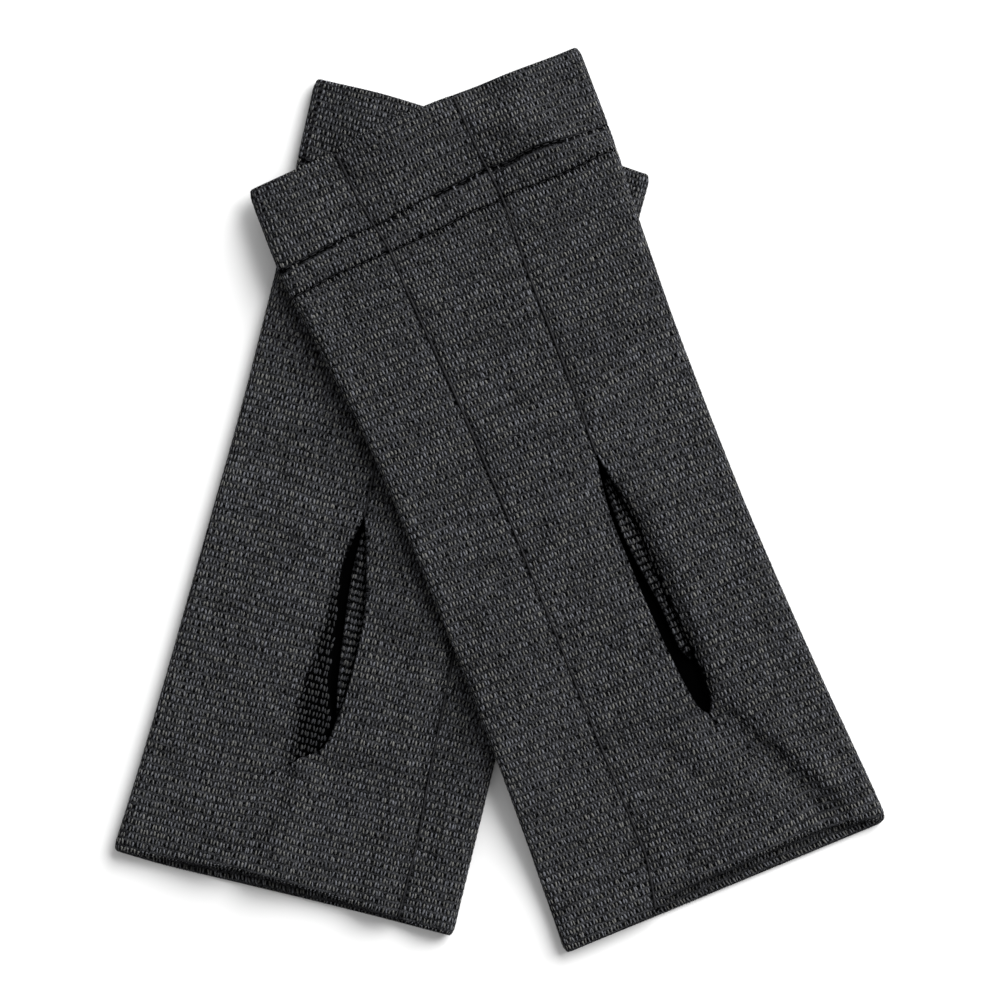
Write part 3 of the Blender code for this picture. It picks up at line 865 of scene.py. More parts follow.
class Wall:
    """One panel as a closed wall of doubled knit, built column by column round its ring.

    turned_sign is 1 where the turned edge is at the hem's end, and -1 where it is at the cuff's.
    """

    def __init__(self, warmer, panel, ring, turned_sign):
        self.warmer = warmer
        self.panel = panel
        self.ring = ring
        self.turned_sign = turned_sign
        self.turn = HEM_TURN
        self.columns = []
        self.chart_before = []
        self.chart_after = []
        self.grooves = []
        self.rims = []
        self.painted_shades = []

    def place_along(self, across, level):
        """True place along the tube and on the chart, for every place of the ring."""
        ring = self.ring
        across = np.broadcast_to(across, ring.along.shape)
        true = self.warmer.true_along(ring.along, across, level)
        unsewn = true - self.warmer.drawn(ring.along, across)
        turn_start = unsewn[np.argmax(ring.tip > 0.0)]
        chart = np.where(ring.beyond > 0.0, turn_start + self.turned_sign * ring.beyond, unsewn)
        return true + self.turned_sign * self.turn * ring.tip, chart

    def add(self, points, groove, chart_across, chart_along, chart_after=None, rim=0.0, shade=0.0):
        """Keeps one column; the chart may be cut there, with another value for the next face."""
        after = chart_across if chart_after is None else chart_after
        shape = self.ring.along.shape
        self.columns.append(points)
        self.grooves.append(np.broadcast_to(groove, shape) * (self.ring.depth < 0.5))
        self.rims.append(np.broadcast_to(rim, shape))
        self.painted_shades.append(np.broadcast_to(shade, shape))
        self.chart_before.append((np.broadcast_to(chart_across, shape), chart_along))
        self.chart_after.append((np.broadcast_to(after, shape), chart_along))

    def add_upper(self, across, thin=1.0, rim=0.0):
        """A column of the upper wall; thin is 0 at a cut edge, where both faces meet."""
        warmer = self.warmer
        turned, chart_along = self.place_along(across, 1.0)
        depth = 0.5 + (self.ring.depth - 0.5) * thin
        height = warmer.upper_height(turned, across, self.panel) - WALL * depth
        bend = warmer.row_bend(turned, across)
        groove = warmer.groove(turned, across)
        # Painted shade on the rolled lip beside the thumb opening
        shade = warmer.painted_lip_shade(turned, across, self.panel)
        points = warmer.points(turned, across, height)
        self.add(points, groove, across, chart_along + bend, rim=rim, shade=shade)

    def add_fold(self, side, angle, chart_across):
        """A column of a side fold; angle runs from 0 at the upper wall to pi at the lower."""
        warmer = self.warmer
        left, right = warmer.sides(self.ring.along)
        centre = left + TURN if side < 0 else right - TURN
        out, up = side * math.sin(angle), math.cos(angle)
        turned, chart_along = self.place_along(centre, 0.5 + 0.5 * up)
        groove = warmer.groove(turned, centre)
        sunk = FOLD_GROOVE * groove * (1.0 - self.ring.depth)
        radius = TURN - WALL * self.ring.depth - sunk
        points = warmer.points(turned, centre + radius * out, TURN + radius * up)
        self.add(points, groove, chart_across, chart_along)

    def add_under(self, across, chart_across, chart_after=None):
        """A column of the lower wall."""
        turned, chart_along = self.place_along(across, 0.0)
        groove = self.warmer.groove(turned, across)
        sunk = FOLD_GROOVE * groove * (1.0 - self.ring.depth)
        points = self.warmer.points(turned, across, WALL * self.ring.depth + sunk)
        self.add(points, groove, chart_across, chart_along, chart_after)

    def add_facing(self, across, thin=1.0, rim=0.0):
        """A column of the thumb facing, close under the lip that it finishes."""
        turned, chart_along = self.place_along(across, 1.0)
        depth = 0.5 + (self.ring.depth - 0.5) * thin
        lip = self.warmer.upper_height(turned, across, self.panel)
        top = np.maximum(lip - WALL - FACING_GAP, WALL + FACING_WALL + FACING_CLEAR)
        points = self.warmer.points(turned, across, top - FACING_WALL * depth)
        # Painted shade on the facing, darkest under the lip
        shade = self.warmer.painted_facing_shade(turned, across)
        self.add(points, 0.0, across, chart_along, rim=rim, shade=shade)

    def cut(self):
        """Greatest width, length and area of the outer face on its chart."""
        outer = (self.ring.depth < 0.5) & (self.ring.beyond == 0.0)
        width = sum(
            np.abs(before[0] - after[0])[outer]
            for after, before in zip(self.chart_after, self.chart_before[1:])
        )
        length = np.ptp(self.ring.along[outer])
        return float(width.max()), float(length), float(width.mean() * length)

    def chart_range(self, turned_in):
        """Lowest and highest across and along of what the knit covers on the chart."""
        across = np.array([part[0] for part in self.chart_before + self.chart_after])
        along = np.array([part[1] for part in self.chart_before])
        along = along[:, self.ring.beyond <= turned_in]
        return (across.min(), across.max()), (along.min(), along.max())

    def edge_columns(self, edge, way):
        """The rounded columns beside a cut edge, from the edge inwards, each with its rim."""
        shows = self.warmer.edge_shows(self.ring.along, self.panel, way)
        yield edge, 0.0, shows
        for i in range(EDGE_PIECES):
            angle = 0.5 * math.pi * i / EDGE_PIECES
            off = 1.0 - math.cos(angle)
            thin = 1.0 - 2.0 * EDGE_DIP * (1.0 - math.sin(angle)) * shows
            yield edge + way * SEAM_TURN * off, thin, shows * (1.0 - off)

    def add_edge(self, add, edge, way, inwards):
        """The columns beside a cut edge, added from the edge inwards or the other way."""
        columns = list(self.edge_columns(edge, way))
        for across, thin, rim in columns if inwards else reversed(columns):
            add(across, thin, rim)

    def add_span(self, start, end):
        """Even columns of the upper wall from one line to another."""
        for share in steps(0.0, 1.0, FLAP_STEP / abs(end.mean() - start.mean())):
            self.add_upper(start + (end - start) * share)

    def build(self, name, material):
        """The closed mesh, with its chart."""
        points = np.stack(self.columns, axis=1)
        rings, columns = points.shape[:2]
        mesh = bpy.data.meshes.new(name)
        ring_at, column_at = np.meshgrid(np.arange(rings), np.arange(columns - 1), indexing="ij")
        corners = [
            (ring_at, column_at, 0),
            (ring_at, column_at + 1, 1),
            (ring_at + 1, column_at + 1, 1),
            (ring_at + 1, column_at, 0),
        ]
        faces = [ring % rings * columns + column for ring, column, _ in corners]
        faces = np.stack(faces, axis=-1).reshape(-1, 4)
        mesh.from_pydata(points.reshape(-1, 3), [], faces)
        charts = []
        for side in (self.chart_after, self.chart_before):
            chart = np.stack([np.stack(pair, axis=-1) for pair in side], axis=1)
            closing = chart[-1:] + np.array((0.0, self.turned_sign * SEAM_TURN))
            charts.append(np.concatenate((chart, closing)))
        uv = np.stack([charts[side][ring, column] for ring, column, side in corners], axis=-2)
        uv = uv.reshape(-1, 2) * MM * CHART_PER_METRE + np.array((CHART_ACROSS, CHART_ALONG))
        layer = mesh.uv_layers.new(name=CHART)
        layer.data.foreach_set("uv", uv.astype(np.float32).ravel())
        # Painted shade on the faces inside the tube, past the turned edge, kept together with the
        # painted shade of the rolled lip and the facing
        inside = smooth_step((self.ring.beyond - INSIDE_SHADE_FROM) / (INSIDE_SHADE_FULL - INSIDE_SHADE_FROM))
        inside = np.repeat(inside[:, None], columns, axis=1)
        kept = {
            GROOVE: np.stack(self.grooves, axis=1),
            RIM: np.stack(self.rims, axis=1),
            PAINTED_SHADE: np.maximum(inside, np.stack(self.painted_shades, axis=1)),
        }
        for key, values in kept.items():
            attribute = mesh.attributes.new(key, "FLOAT", "POINT")
            attribute.data.foreach_set("value", values.astype(np.float32).ravel())
        bm = bmesh.new()
        bm.from_mesh(mesh)
        bmesh.ops.remove_doubles(bm, verts=bm.verts, dist=MERGED)
        bmesh.ops.recalc_face_normals(bm, faces=bm.faces)
        bm.to_mesh(mesh)
        bm.free()
        mesh.shade_smooth()
        mesh.materials.append(material)
        return link_piece(name, mesh)


def link_piece(name, mesh):
    """A finished piece in the scene, on the one body of the pair."""
    piece = bpy.data.objects.new(name, mesh)
    bpy.context.scene.collection.objects.link(piece)
    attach(piece, "root")
    return piece


def back_wall(warmer, ring, turned_sign):
    """The back panel or the cuff's back piece, from its left flap round the underside to its right."""
    wall = Wall(warmer, "back", ring, turned_sign)
    along = ring.along
    left, right = warmer.sides(along)
    left_end, _, _, right_end = warmer.seam_edges(along)
    left_fold, right_fold = left + TURN, right - TURN
    wall.add_edge(wall.add_upper, left_end, -1.0, inwards=True)
    wall.add_span(left_end - SEAM_TURN, left_fold)
    for i in range(1, FOLD_PIECES):
        angle = math.pi * i / FOLD_PIECES
        wall.add_fold(-1, angle, left_fold - TURN * angle)
    shares = steps(0.0, 1.0, UNDER_STEP / (right_fold.mean() - left_fold.mean()))
    under_start = left_fold - math.pi * TURN
    for share in shares:
        across = left_fold + (right_fold - left_fold) * share
        chart = under_start - (across - left_fold)
        after = right_fold + math.pi * TURN if share == shares[-1] else None
        wall.add_under(across, chart, after)
    for i in range(FOLD_PIECES - 1, 0, -1):
        angle = math.pi * i / FOLD_PIECES
        wall.add_fold(1, angle, right_fold + TURN * angle)
    wall.add_span(right_fold, right_end + SEAM_TURN)
    wall.add_edge(wall.add_upper, right_end, 1.0, inwards=False)
    return wall


def palm_wall(warmer, ring, turned_sign):
    """The palm panel or the cuff's palm piece, between the two long seams."""
    wall = Wall(warmer, "palm", ring, turned_sign)
    _, start, end, _ = warmer.seam_edges(ring.along)
    wall.add_edge(wall.add_upper, start, 1.0, inwards=True)
    wall.add_span(start + SEAM_TURN, end - SEAM_TURN)
    wall.add_edge(wall.add_upper, end, -1.0, inwards=False)
    return wall


def facing_wall(warmer, ring):
    """The strip that finishes one side of the thumb opening, under the lip of its panel."""
    panel = warmer.sizes["facing_panel"]
    wall = Wall(warmer, panel, ring, 1.0)
    wall.turn = 0.5 * FACING_WALL
    start = warmer.facing_edge(ring.along)
    end = np.maximum(warmer.lip(panel, ring.along), start) + FACING_TUCK
    wall.add_edge(wall.add_facing, start, 1.0, inwards=True)
    inner_start, inner_end = start + SEAM_TURN, end - SEAM_TURN
    for share in steps(0.0, 1.0, FACING_SHARE):
        wall.add_facing(inner_start + (inner_end - inner_start) * share)
    wall.add_edge(wall.add_facing, end, -1.0, inwards=False)
    return wall


def cloth_sheet(wall):
    """Measures the cut of a wall on its chart, no narrower than the least width."""
    width, length, area = wall.cut()
    width = max(width, LEAST_CUT)


def body_ring(warmer):
    """The ring of the back and palm panels, from the joining seam to the hem."""
    stations = steps(CUFF_DEPTH + 0.5 * SEAM_GAP, warmer.hem_end - HEM_TURN, STATION_STEP)
    stations = near_lines(stations, (CUFF_DEPTH,), BESIDE_SEAM)
    return ring_of(stations, SEAM_TURN, HEM_TURN)


def cuff_ring():
    """The ring of the cuff's two pieces, from the joining seam to the turned edge."""
    stations = steps(HEM_TURN, CUFF_DEPTH - 0.5 * SEAM_GAP, STATION_STEP)
    stations = near_lines(stations, (TOPSTITCH_AT, CUFF_DEPTH), BESIDE_LINES)
    return ring_of(stations[::-1], SEAM_TURN, HEM_TURN)


def facing_ring(warmer):
    """The ring of the thumb facing, over the length that shows."""
    facing = warmer.sizes["facing"]
    stations = steps(facing[0].along, facing[-1].along, STATION_STEP)
    return ring_of(stations, SEAM_TURN, 0.5 * FACING_WALL)


class Graph:
    """Adds nodes to a tree and joins them in the order that they are read."""

    def __init__(self, tree):
        self.tree = tree

    def add(self, kind, inputs=(), **settings):
        """A new node with its settings, each input given a value or joined to a socket."""
        node = self.tree.nodes.new(kind)
        for name, value in settings.items():
            setattr(node, name, value)
        for socket, value in dict(inputs).items():
            self.feed(node.inputs[socket], value)
        return node

    def feed(self, socket, value):
        """Joins a socket to another, or sets its value."""
        if isinstance(value, bpy.types.NodeSocket):
            self.tree.links.new(value, socket)
        else:
            socket.default_value = value

    def math(self, operation, first, second=0.0, third=0.0):
        """The result of one sum on numbers."""
        inputs = {0: first, 1: second, 2: third}
        return self.add("ShaderNodeMath", inputs, operation=operation).outputs[0]

    def vector(self, x=0.0, y=0.0, z=0.0):
        """A vector of three numbers."""
        return self.add("ShaderNodeCombineXYZ", {"X": x, "Y": y, "Z": z}).outputs[0]

    def sum(self, first, second):
        """Two vectors added."""
        return self.add("ShaderNodeVectorMath", {0: first, 1: second}, operation="ADD").outputs[0]

    def difference(self, first, second):
        """One vector less another."""
        inputs = {0: first, 1: second}
        return self.add("ShaderNodeVectorMath", inputs, operation="SUBTRACT").outputs[0]

    def scaled(self, vector, scale):
        """A vector made longer or shorter."""
        inputs = {0: vector, "Scale": scale}
        return self.add("ShaderNodeVectorMath", inputs, operation="SCALE").outputs[0]

    def length(self, vector):
        """The length of a vector."""
        return self.add("ShaderNodeVectorMath", {0: vector}, operation="LENGTH").outputs["Value"]

    def noise(self, vector, scale=1.0, detail=1.0, roughness=0.5):
        """Smooth noise from 0 to 1 at a place."""
        inputs = {"Vector": vector, "Scale": scale, "Detail": detail, "Roughness": roughness}
        return self.add("ShaderNodeTexNoise", inputs).outputs["Fac"]

    def random(self, low, high, seed):
        """A random number for each point."""
        node = self.add("FunctionNodeRandomValue", {"Seed": seed}, data_type="FLOAT")
        self.feed(node.inputs[2], low)
        self.feed(node.inputs[3], high)
        return node.outputs[1]


def sized_inputs(tree, sizes):
    """Adds named inputs to a tree, from (name, socket type, least value)."""
    for name, kind, least in sizes:
        socket = tree.interface.new_socket(name, in_out="INPUT", socket_type=kind)
        if least is not None:
            socket.min_value = least


def set_inputs(modifier, values):
    """Sets a modifier's inputs by their sockets' identifiers."""
    for item in modifier.node_group.interface.items_tree:
        if item.item_type == "SOCKET" and item.in_out == "INPUT" and item.name in values:
            modifier[item.identifier] = values[item.name]


KNIT_INPUTS = (
    ("Cloth", "NodeSocketObject", None),
    ("First across", "NodeSocketFloat", -1.0),
    ("Last across", "NodeSocketFloat", -1.0),
    ("First along", "NodeSocketFloat", -1.0),
    ("Last along", "NodeSocketFloat", -1.0),
    ("Least along", "NodeSocketFloat", -1.0),
    ("Most along", "NodeSocketFloat", -1.0),
    ("Row pitch", "NodeSocketFloat", 0.0),
    ("Stitch pitch", "NodeSocketFloat", 0.0),
    ("Loop length", "NodeSocketFloat", 0.0),
    ("Loop width", "NodeSocketFloat", 0.0),
    ("Loop height", "NodeSocketFloat", 0.0),
    ("Lean", "NodeSocketFloat", 0.0),
    ("Unevenness", "NodeSocketFloat", 0.0),
    ("Seed", "NodeSocketInt", 0),
    ("Yarn", "NodeSocketMaterial", None),
)


def row_wander(g, across, along, uneven):
    """How far the rows wander along the tube at a place of the chart."""
    place = g.vector(g.math("MULTIPLY", across, WANDER_ACROSS), g.math("MULTIPLY", along, WANDER_ALONG))
    wander = g.math("SUBTRACT", g.noise(place), 0.5)
    return g.math("MULTIPLY", wander, g.math("MULTIPLY", uneven, ROW_WANDER))


def stored(g, name, kind="FLOAT"):
    """What a geometry keeps under a name."""
    return g.add("GeometryNodeInputNamedAttribute", {"Name": name}, data_type=kind).outputs[0]


def chart_sampler(g, cloth):
    """Reads the cloth at a place of its chart: (value, across, along, kind) to a node's outputs."""
    chart = stored(g, CHART, "FLOAT_VECTOR")

    def sample(value, across, along, kind="FLOAT"):
        """The value there, and whether the place is on the chart."""
        on_chart = g.vector(
            g.math("MULTIPLY_ADD", across, CHART_PER_METRE, CHART_ACROSS),
            g.math("MULTIPLY_ADD", along, CHART_PER_METRE, CHART_ALONG),
        )
        inputs = {"Mesh": cloth, "Value": value, "Source UV Map": chart, "Sample UV": on_chart}
        node = g.add("GeometryNodeSampleUVSurface", data_type=kind)
        for name, source in inputs.items():
            g.feed(node.inputs[name], source)
        return node.outputs

    return sample


def marl_of_loops(g, across, along, row):
    """How light each loop's yarn is, and how warm."""
    by_row = g.math("MULTIPLY", row, MARL_BY_ROW)
    marl = g.noise(g.vector(g.math("MULTIPLY", across, MARL_ACROSS), by_row))
    clouds = g.vector(
        g.math("MULTIPLY", across, CLOUD_ACROSS), g.math("MULTIPLY", along, CLOUD_ALONG), CLOUD_AT
    )
    shade = g.math("MULTIPLY_ADD", g.noise(clouds), CLOUD_SHARE, g.math("MULTIPLY", marl, MARL_SHARE))
    shade = g.math("MULTIPLY_ADD", g.random(0.0, 1.0, SEEDS["shade"]), LOOP_SHADE_SHARE, shade)
    tints = g.vector(
        g.math("MULTIPLY", across, TINT_ACROSS), g.math("MULTIPLY", row, TINT_BY_ROW), TINT_AT
    )
    own_tint = g.random(-0.5, 0.5, SEEDS["tint"])
    return shade, g.math("MULTIPLY_ADD", own_tint, LOOP_TINT_SHARE, g.noise(tints))


def knit_tree():
    """Lays loops on a cloth in rows and wales, along the cloth's chart."""
    tree = bpy.data.node_groups.new("Knit loops", "GeometryNodeTree")
    sized_inputs(tree, KNIT_INPUTS)
    tree.interface.new_socket("Geometry", in_out="OUTPUT", socket_type="NodeSocketGeometry")
    g = Graph(tree)
    sizes = g.add("NodeGroupInput").outputs
    cloth = g.add("GeometryNodeObjectInfo", {"Object": sizes["Cloth"]}).outputs["Geometry"]

    # A flat grid with one point for each loop
    wide = g.math("SUBTRACT", sizes["Last across"], sizes["First across"])
    long = g.math("SUBTRACT", sizes["Last along"], sizes["First along"])
    columns = g.math("FLOOR", g.math("DIVIDE", wide, sizes["Stitch pitch"]))
    rows = g.math("FLOOR", g.math("DIVIDE", long, sizes["Row pitch"]))
    last_column, last_row = g.math("SUBTRACT", columns, 1.0), g.math("SUBTRACT", rows, 1.0)
    grid = g.add(
        "GeometryNodeMeshGrid",
        {"Size X": last_column, "Size Y": last_row, "Vertices X": columns, "Vertices Y": rows},
    ).outputs["Mesh"]
    at = g.add("ShaderNodeSeparateXYZ", {0: g.add("GeometryNodeInputPosition").outputs[0]}).outputs
    column = g.math("ROUND", g.math("MULTIPLY_ADD", last_column, 0.5, at["X"]))
    row = g.math("ROUND", g.math("MULTIPLY_ADD", last_row, 0.5, at["Y"]))

    # Each loop's place on the chart
    uneven, seed = sizes["Unevenness"], sizes["Seed"]

    def shaken(place, size, share, seed):
        """A place or a size, made uneven by a share of a size."""
        amount = g.math("MULTIPLY", g.math("MULTIPLY", size, share), uneven)
        return g.math("MULTIPLY_ADD", g.random(-1.0, 1.0, seed), amount, place)

    stitch_pitch, row_pitch = sizes["Stitch pitch"], sizes["Row pitch"]
    across = g.math("MULTIPLY_ADD", g.math("ADD", column, 0.5), stitch_pitch, sizes["First across"])
    along = g.math("MULTIPLY_ADD", g.math("ADD", row, 0.5), row_pitch, sizes["First along"])
    along = g.math("ADD", along, row_wander(g, across, along, uneven))
    across = shaken(across, stitch_pitch, SHAKEN_ACROSS, seed)
    along = shaken(along, row_pitch, SHAKEN_ALONG, g.math("ADD", seed, SEEDS["along"]))
    way = g.math("MULTIPLY_ADD", g.math("MODULO", column, 2.0), 2.0, -1.0)
    lean = shaken(g.math("MULTIPLY", sizes["Lean"], way), sizes["Lean"], SHAKEN_LEAN, SEEDS["lean"])
    half_lean = g.math("MULTIPLY", lean, 0.5)
    length = shaken(sizes["Loop length"], sizes["Loop length"], SHAKEN_LENGTH, SEEDS["length"])
    half_long = g.math("MULTIPLY", length, 0.5)

    # Its root, tip and middle on the cloth
    sample = chart_sampler(g, cloth)
    place = g.add("GeometryNodeInputPosition").outputs[0]
    root_along = g.math("MAXIMUM", g.math("SUBTRACT", along, half_long), sizes["Least along"])
    tip_along = g.math("MINIMUM", g.math("ADD", along, half_long), sizes["Most along"])
    root_end = sample(place, g.math("SUBTRACT", across, half_lean), root_along, "FLOAT_VECTOR")
    tip_end = sample(place, g.math("ADD", across, half_lean), tip_along, "FLOAT_VECTOR")
    centre = sample(place, across, along, "FLOAT_VECTOR")

    def end_or_mirrored(end, other):
        """A loop's end, or its other end mirrored where this one is off the chart."""
        mirrored = g.difference(g.scaled(centre["Value"], 2.0), other["Value"])
        off = g.difference(end["Value"], mirrored)
        return g.sum(mirrored, g.scaled(off, end["Is Valid"]))

    root, tip = end_or_mirrored(root_end, tip_end), end_or_mirrored(tip_end, root_end)
    near_rim = sample(stored(g, RIM), across, along)["Value"]
    in_groove = sample(stored(g, GROOVE), across, along)["Value"]
    # Painted shade of the cloth under each loop, which the loop's yarn takes on
    dim = sample(stored(g, PAINTED_SHADE), across, along)["Value"]
    normal = g.add("GeometryNodeInputNormal").outputs[0]
    out = sample(normal, across, along, "FLOAT_VECTOR")["Value"]
    run = g.difference(tip, root)
    reach = g.length(run)
    ends = g.scaled(g.sum(tip, root), LOOP_ENDS)
    on_cloth = g.scaled(centre["Value"], 1.0 - 2.0 * LOOP_ENDS)
    lifted = g.scaled(out, g.math("MULTIPLY", sizes["Loop height"], LOOP_ENDS))
    middle = g.sum(g.sum(ends, on_cloth), lifted)
    shade, tint = marl_of_loops(g, across, along, row)

    # Which loops are held, and what each point keeps
    longest = g.math("MULTIPLY", sizes["Loop length"], LONGEST_LOOP)
    held = g.math("MAXIMUM", root_end["Is Valid"], tip_end["Is Valid"])
    for wanted in (
        centre["Is Valid"],
        g.math("LESS_THAN", near_rim, RIM_CLEAR),
        g.math("LESS_THAN", in_groove, GROOVE_CLEAR),
        g.math("GREATER_THAN", g.math("SUBTRACT", tip_along, root_along), LEAST_LOOP),
        g.math("LESS_THAN", reach, longest),
    ):
        held = g.math("MULTIPLY", held, wanted)
    points = grid
    for name, value, kind in (
        ("middle", middle, "FLOAT_VECTOR"),
        ("run", run, "FLOAT_VECTOR"),
        ("out", out, "FLOAT_VECTOR"),
        ("reach", reach, "FLOAT"),
        ("held", held, "FLOAT"),
        ("marl", shade, "FLOAT"),
        ("warmth", tint, "FLOAT"),
        (PAINTED_SHADE, dim, "FLOAT"),
    ):
        node = g.add("GeometryNodeStoreNamedAttribute", {"Name": name}, data_type=kind, domain="POINT")
        g.feed(node.inputs["Geometry"], points)
        g.feed(node.inputs["Value"], value)
        points = node.outputs["Geometry"]

    # One loop on each point that is held, turned along its run
    missing = g.math("LESS_THAN", stored(g, "held"), 0.5)
    inputs = {"Geometry": points, "Selection": missing}
    points = g.add("GeometryNodeDeleteGeometry", inputs, domain="POINT").outputs[0]
    inputs = {"Geometry": points, "Position": stored(g, "middle", "FLOAT_VECTOR")}
    points = g.add("GeometryNodeSetPosition", inputs).outputs[0]
    loop = g.add("GeometryNodeMeshUVSphere", {"Segments": 3, "Rings": 3, "Radius": 1.0}).outputs["Mesh"]
    out = stored(g, "out", "FLOAT_VECTOR")
    turned = g.add("FunctionNodeAxesToRotation", primary_axis="Z", secondary_axis="X")
    g.feed(turned.inputs["Primary Axis"], stored(g, "run", "FLOAT_VECTOR"))
    g.feed(turned.inputs["Secondary Axis"], out)
    upright = g.add("ShaderNodeSeparateXYZ", {0: out}).outputs["Z"]
    upright = g.math("MULTIPLY_ADD", g.math("ABSOLUTE", upright), 1.0 - AT_FOLDS, AT_FOLDS)
    height = g.math("MULTIPLY", sizes["Loop height"], upright)
    width = g.math("MULTIPLY", g.random(*WIDTHS, SEEDS["width"]), LOOP_HALF_WIDTH)
    size = g.vector(
        g.math("MULTIPLY", height, g.random(*HEIGHTS, SEEDS["height"])),
        g.math("MULTIPLY", sizes["Loop width"], width),
        g.math("MULTIPLY", stored(g, "reach"), 0.5),
    )
    loops = laid_on(g, points, loop, turned.outputs[0], size)
    for name in ("middle", "run", "out", "reach", "held"):
        loops = g.add("GeometryNodeRemoveAttribute", {"Geometry": loops, "Name": name}).outputs[0]
    finish_tree(g, loops, sizes["Yarn"])
    return tree


def laid_on(g, points, shape, rotation, scale):
    """A copy of a shape on each point, as real geometry."""
    inputs = {"Points": points, "Instance": shape, "Rotation": rotation, "Scale": scale}
    copies = g.add("GeometryNodeInstanceOnPoints", inputs).outputs["Instances"]
    return g.add("GeometryNodeRealizeInstances", {"Geometry": copies}).outputs[0]


def finish_tree(g, geometry, material):
    """Gives a tree's geometry its smooth shading and its material, and puts it out."""
    smooth = g.add("GeometryNodeSetShadeSmooth", {"Geometry": geometry}).outputs[0]
    inputs = {"Geometry": smooth, "Material": material}
    g.add("NodeGroupOutput", {"Geometry": g.add("GeometryNodeSetMaterial", inputs).outputs[0]})


def grown(name, tree, values):
    """A plain mesh made by a node tree, as a piece on the one body of the pair."""
    maker = bpy.data.objects.new(name + "_maker", bpy.data.meshes.new(name + "_maker"))
    bpy.context.scene.collection.objects.link(maker)
    modifier = maker.modifiers.new(tree.name, "NODES")
    modifier.node_group = tree
    set_inputs(modifier, values)
    bpy.context.view_layer.update()
    depsgraph = bpy.context.evaluated_depsgraph_get()
    mesh = bpy.data.meshes.new_from_object(maker.evaluated_get(depsgraph), depsgraph=depsgraph)
    mesh.name = name
    bpy.data.objects.remove(maker, do_unlink=True)
    return link_piece(name, mesh)


def knit_on(cloth_piece, wall, tree, knit, material, turned_in, seed):
    """The loops of one wall's outer face, its turned edge and what shows inside it."""
    across, along = wall.chart_range(turned_in)
    seam = wall.ring.along[0] * MM
    fineness = knit.cuff_rows if wall.turned_sign < 0.0 else 1.0
    row_pitch = knit.row_pitch * fineness
    rows_before = math.ceil((seam - along[0] * MM) / row_pitch)
    values = {
        "Cloth": cloth_piece,
        "First along": seam - rows_before * row_pitch,
        "Last along": (along[1] + PAST_LAST_ROW) * MM,
        "Least along": (along[0] + EDGE_CLEAR) * MM,
        "Most along": (along[1] - EDGE_CLEAR) * MM,
        "Row pitch": row_pitch,
        "Stitch pitch": knit.stitch_pitch,
        "Loop length": knit.loop_length * fineness,
        "Loop width": knit.loop_width,
        "Loop height": knit.loop_height,
        "Lean": knit.lean,
        "Unevenness": knit.unevenness,
        "Yarn": material,
    }
    parts = 2 if across[1] - across[0] > WIDEST_PIECE else 1
    cuts = np.linspace(across[0], across[1], parts + 1)
    for i in range(parts):
        values["First across"], values["Last across"] = float(cuts[i]) * MM, float(cuts[i + 1]) * MM
        values["Seed"] = seed + i
        grown(cloth_piece.name + "_loops_" + str(i + 1), tree, values)


THREAD_INPUTS = (
    ("Path", "NodeSocketObject", None),
    ("Stitch", "NodeSocketFloat", 0.0),
    ("Gap", "NodeSocketFloat", -0.01),
    ("Thickness", "NodeSocketFloat", 0.0),
    ("Thread", "NodeSocketMaterial", None),
)


def thread_tree():
    """Lays a run of short stitches along a path."""
    tree = bpy.data.node_groups.new("Sewn stitches", "GeometryNodeTree")
    sized_inputs(tree, THREAD_INPUTS)
    tree.interface.new_socket("Geometry", in_out="OUTPUT", socket_type="NodeSocketGeometry")
    g = Graph(tree)
    sizes = g.add("NodeGroupInput").outputs
    path = g.add("GeometryNodeObjectInfo", {"Object": sizes["Path"]}).outputs["Geometry"]
    path = g.add("GeometryNodeMeshToCurve", {"Mesh": path}).outputs[0]
    pitch = g.math("ADD", sizes["Stitch"], sizes["Gap"])
    points = g.add("GeometryNodeCurveToPoints", {"Curve": path, "Length": pitch}, mode="LENGTH").outputs
    stitch = g.add("GeometryNodeMeshUVSphere", {"Segments": 6, "Rings": 4, "Radius": 0.5}).outputs[0]
    turned = g.add("FunctionNodeAlignRotationToVector", {"Vector": points["Tangent"]}, axis="Z")
    thick = g.math("MULTIPLY", sizes["Thickness"], g.random(0.8, 1.2, 5))
    size = g.vector(thick, thick, g.math("MULTIPLY", sizes["Stitch"], g.random(0.85, 1.15, 9)))
    finish_tree(g, laid_on(g, points["Points"], stitch, turned.outputs[0], size), sizes["Thread"])
    return tree


def path_mesh(name, points):
    """An open path through points, for stitches to follow."""
    mesh = bpy.data.meshes.new(name)
    edges = [(i, i + 1) for i in range(len(points) - 1)]
    mesh.from_pydata([tuple(point) for point in points], edges, [])
    path = bpy.data.objects.new(name, mesh)
    bpy.context.scene.collection.objects.link(path)
    return path


def around_cuff(warmer, line, lift):
    """Points right round the cuff along one sewn line, a little above the groove's floor."""
    left, right = warmer.sides(np.array([CUFF_DEPTH]))
    left_fold, right_fold = left[0] + TURN, right[0] - TURN
    upper = np.linspace(left_fold, right_fold, UPPER_PATH_POINTS)
    along = line(upper)
    height = warmer.upper_height(along, upper, "palm") + lift
    over = warmer.points(along, upper, height)
    angles = np.linspace(0.0, math.pi, FOLD_PATH_POINTS)[1:-1]
    rounds = []
    for side, fold, way in ((1, right_fold, 1), (-1, left_fold, -1)):
        radius = TURN - FOLD_GROOVE + lift
        out, up = side * np.sin(angles), np.cos(angles)
        arc = warmer.points(line(fold), fold + radius * out, TURN + radius * up)
        rounds.append(arc[::way])
    below = np.linspace(right_fold, left_fold, UPPER_PATH_POINTS)
    beneath = warmer.points(line(below), below, FOLD_GROOVE - lift)
    return np.concatenate((over, rounds[0], beneath, rounds[1], over[:1]))


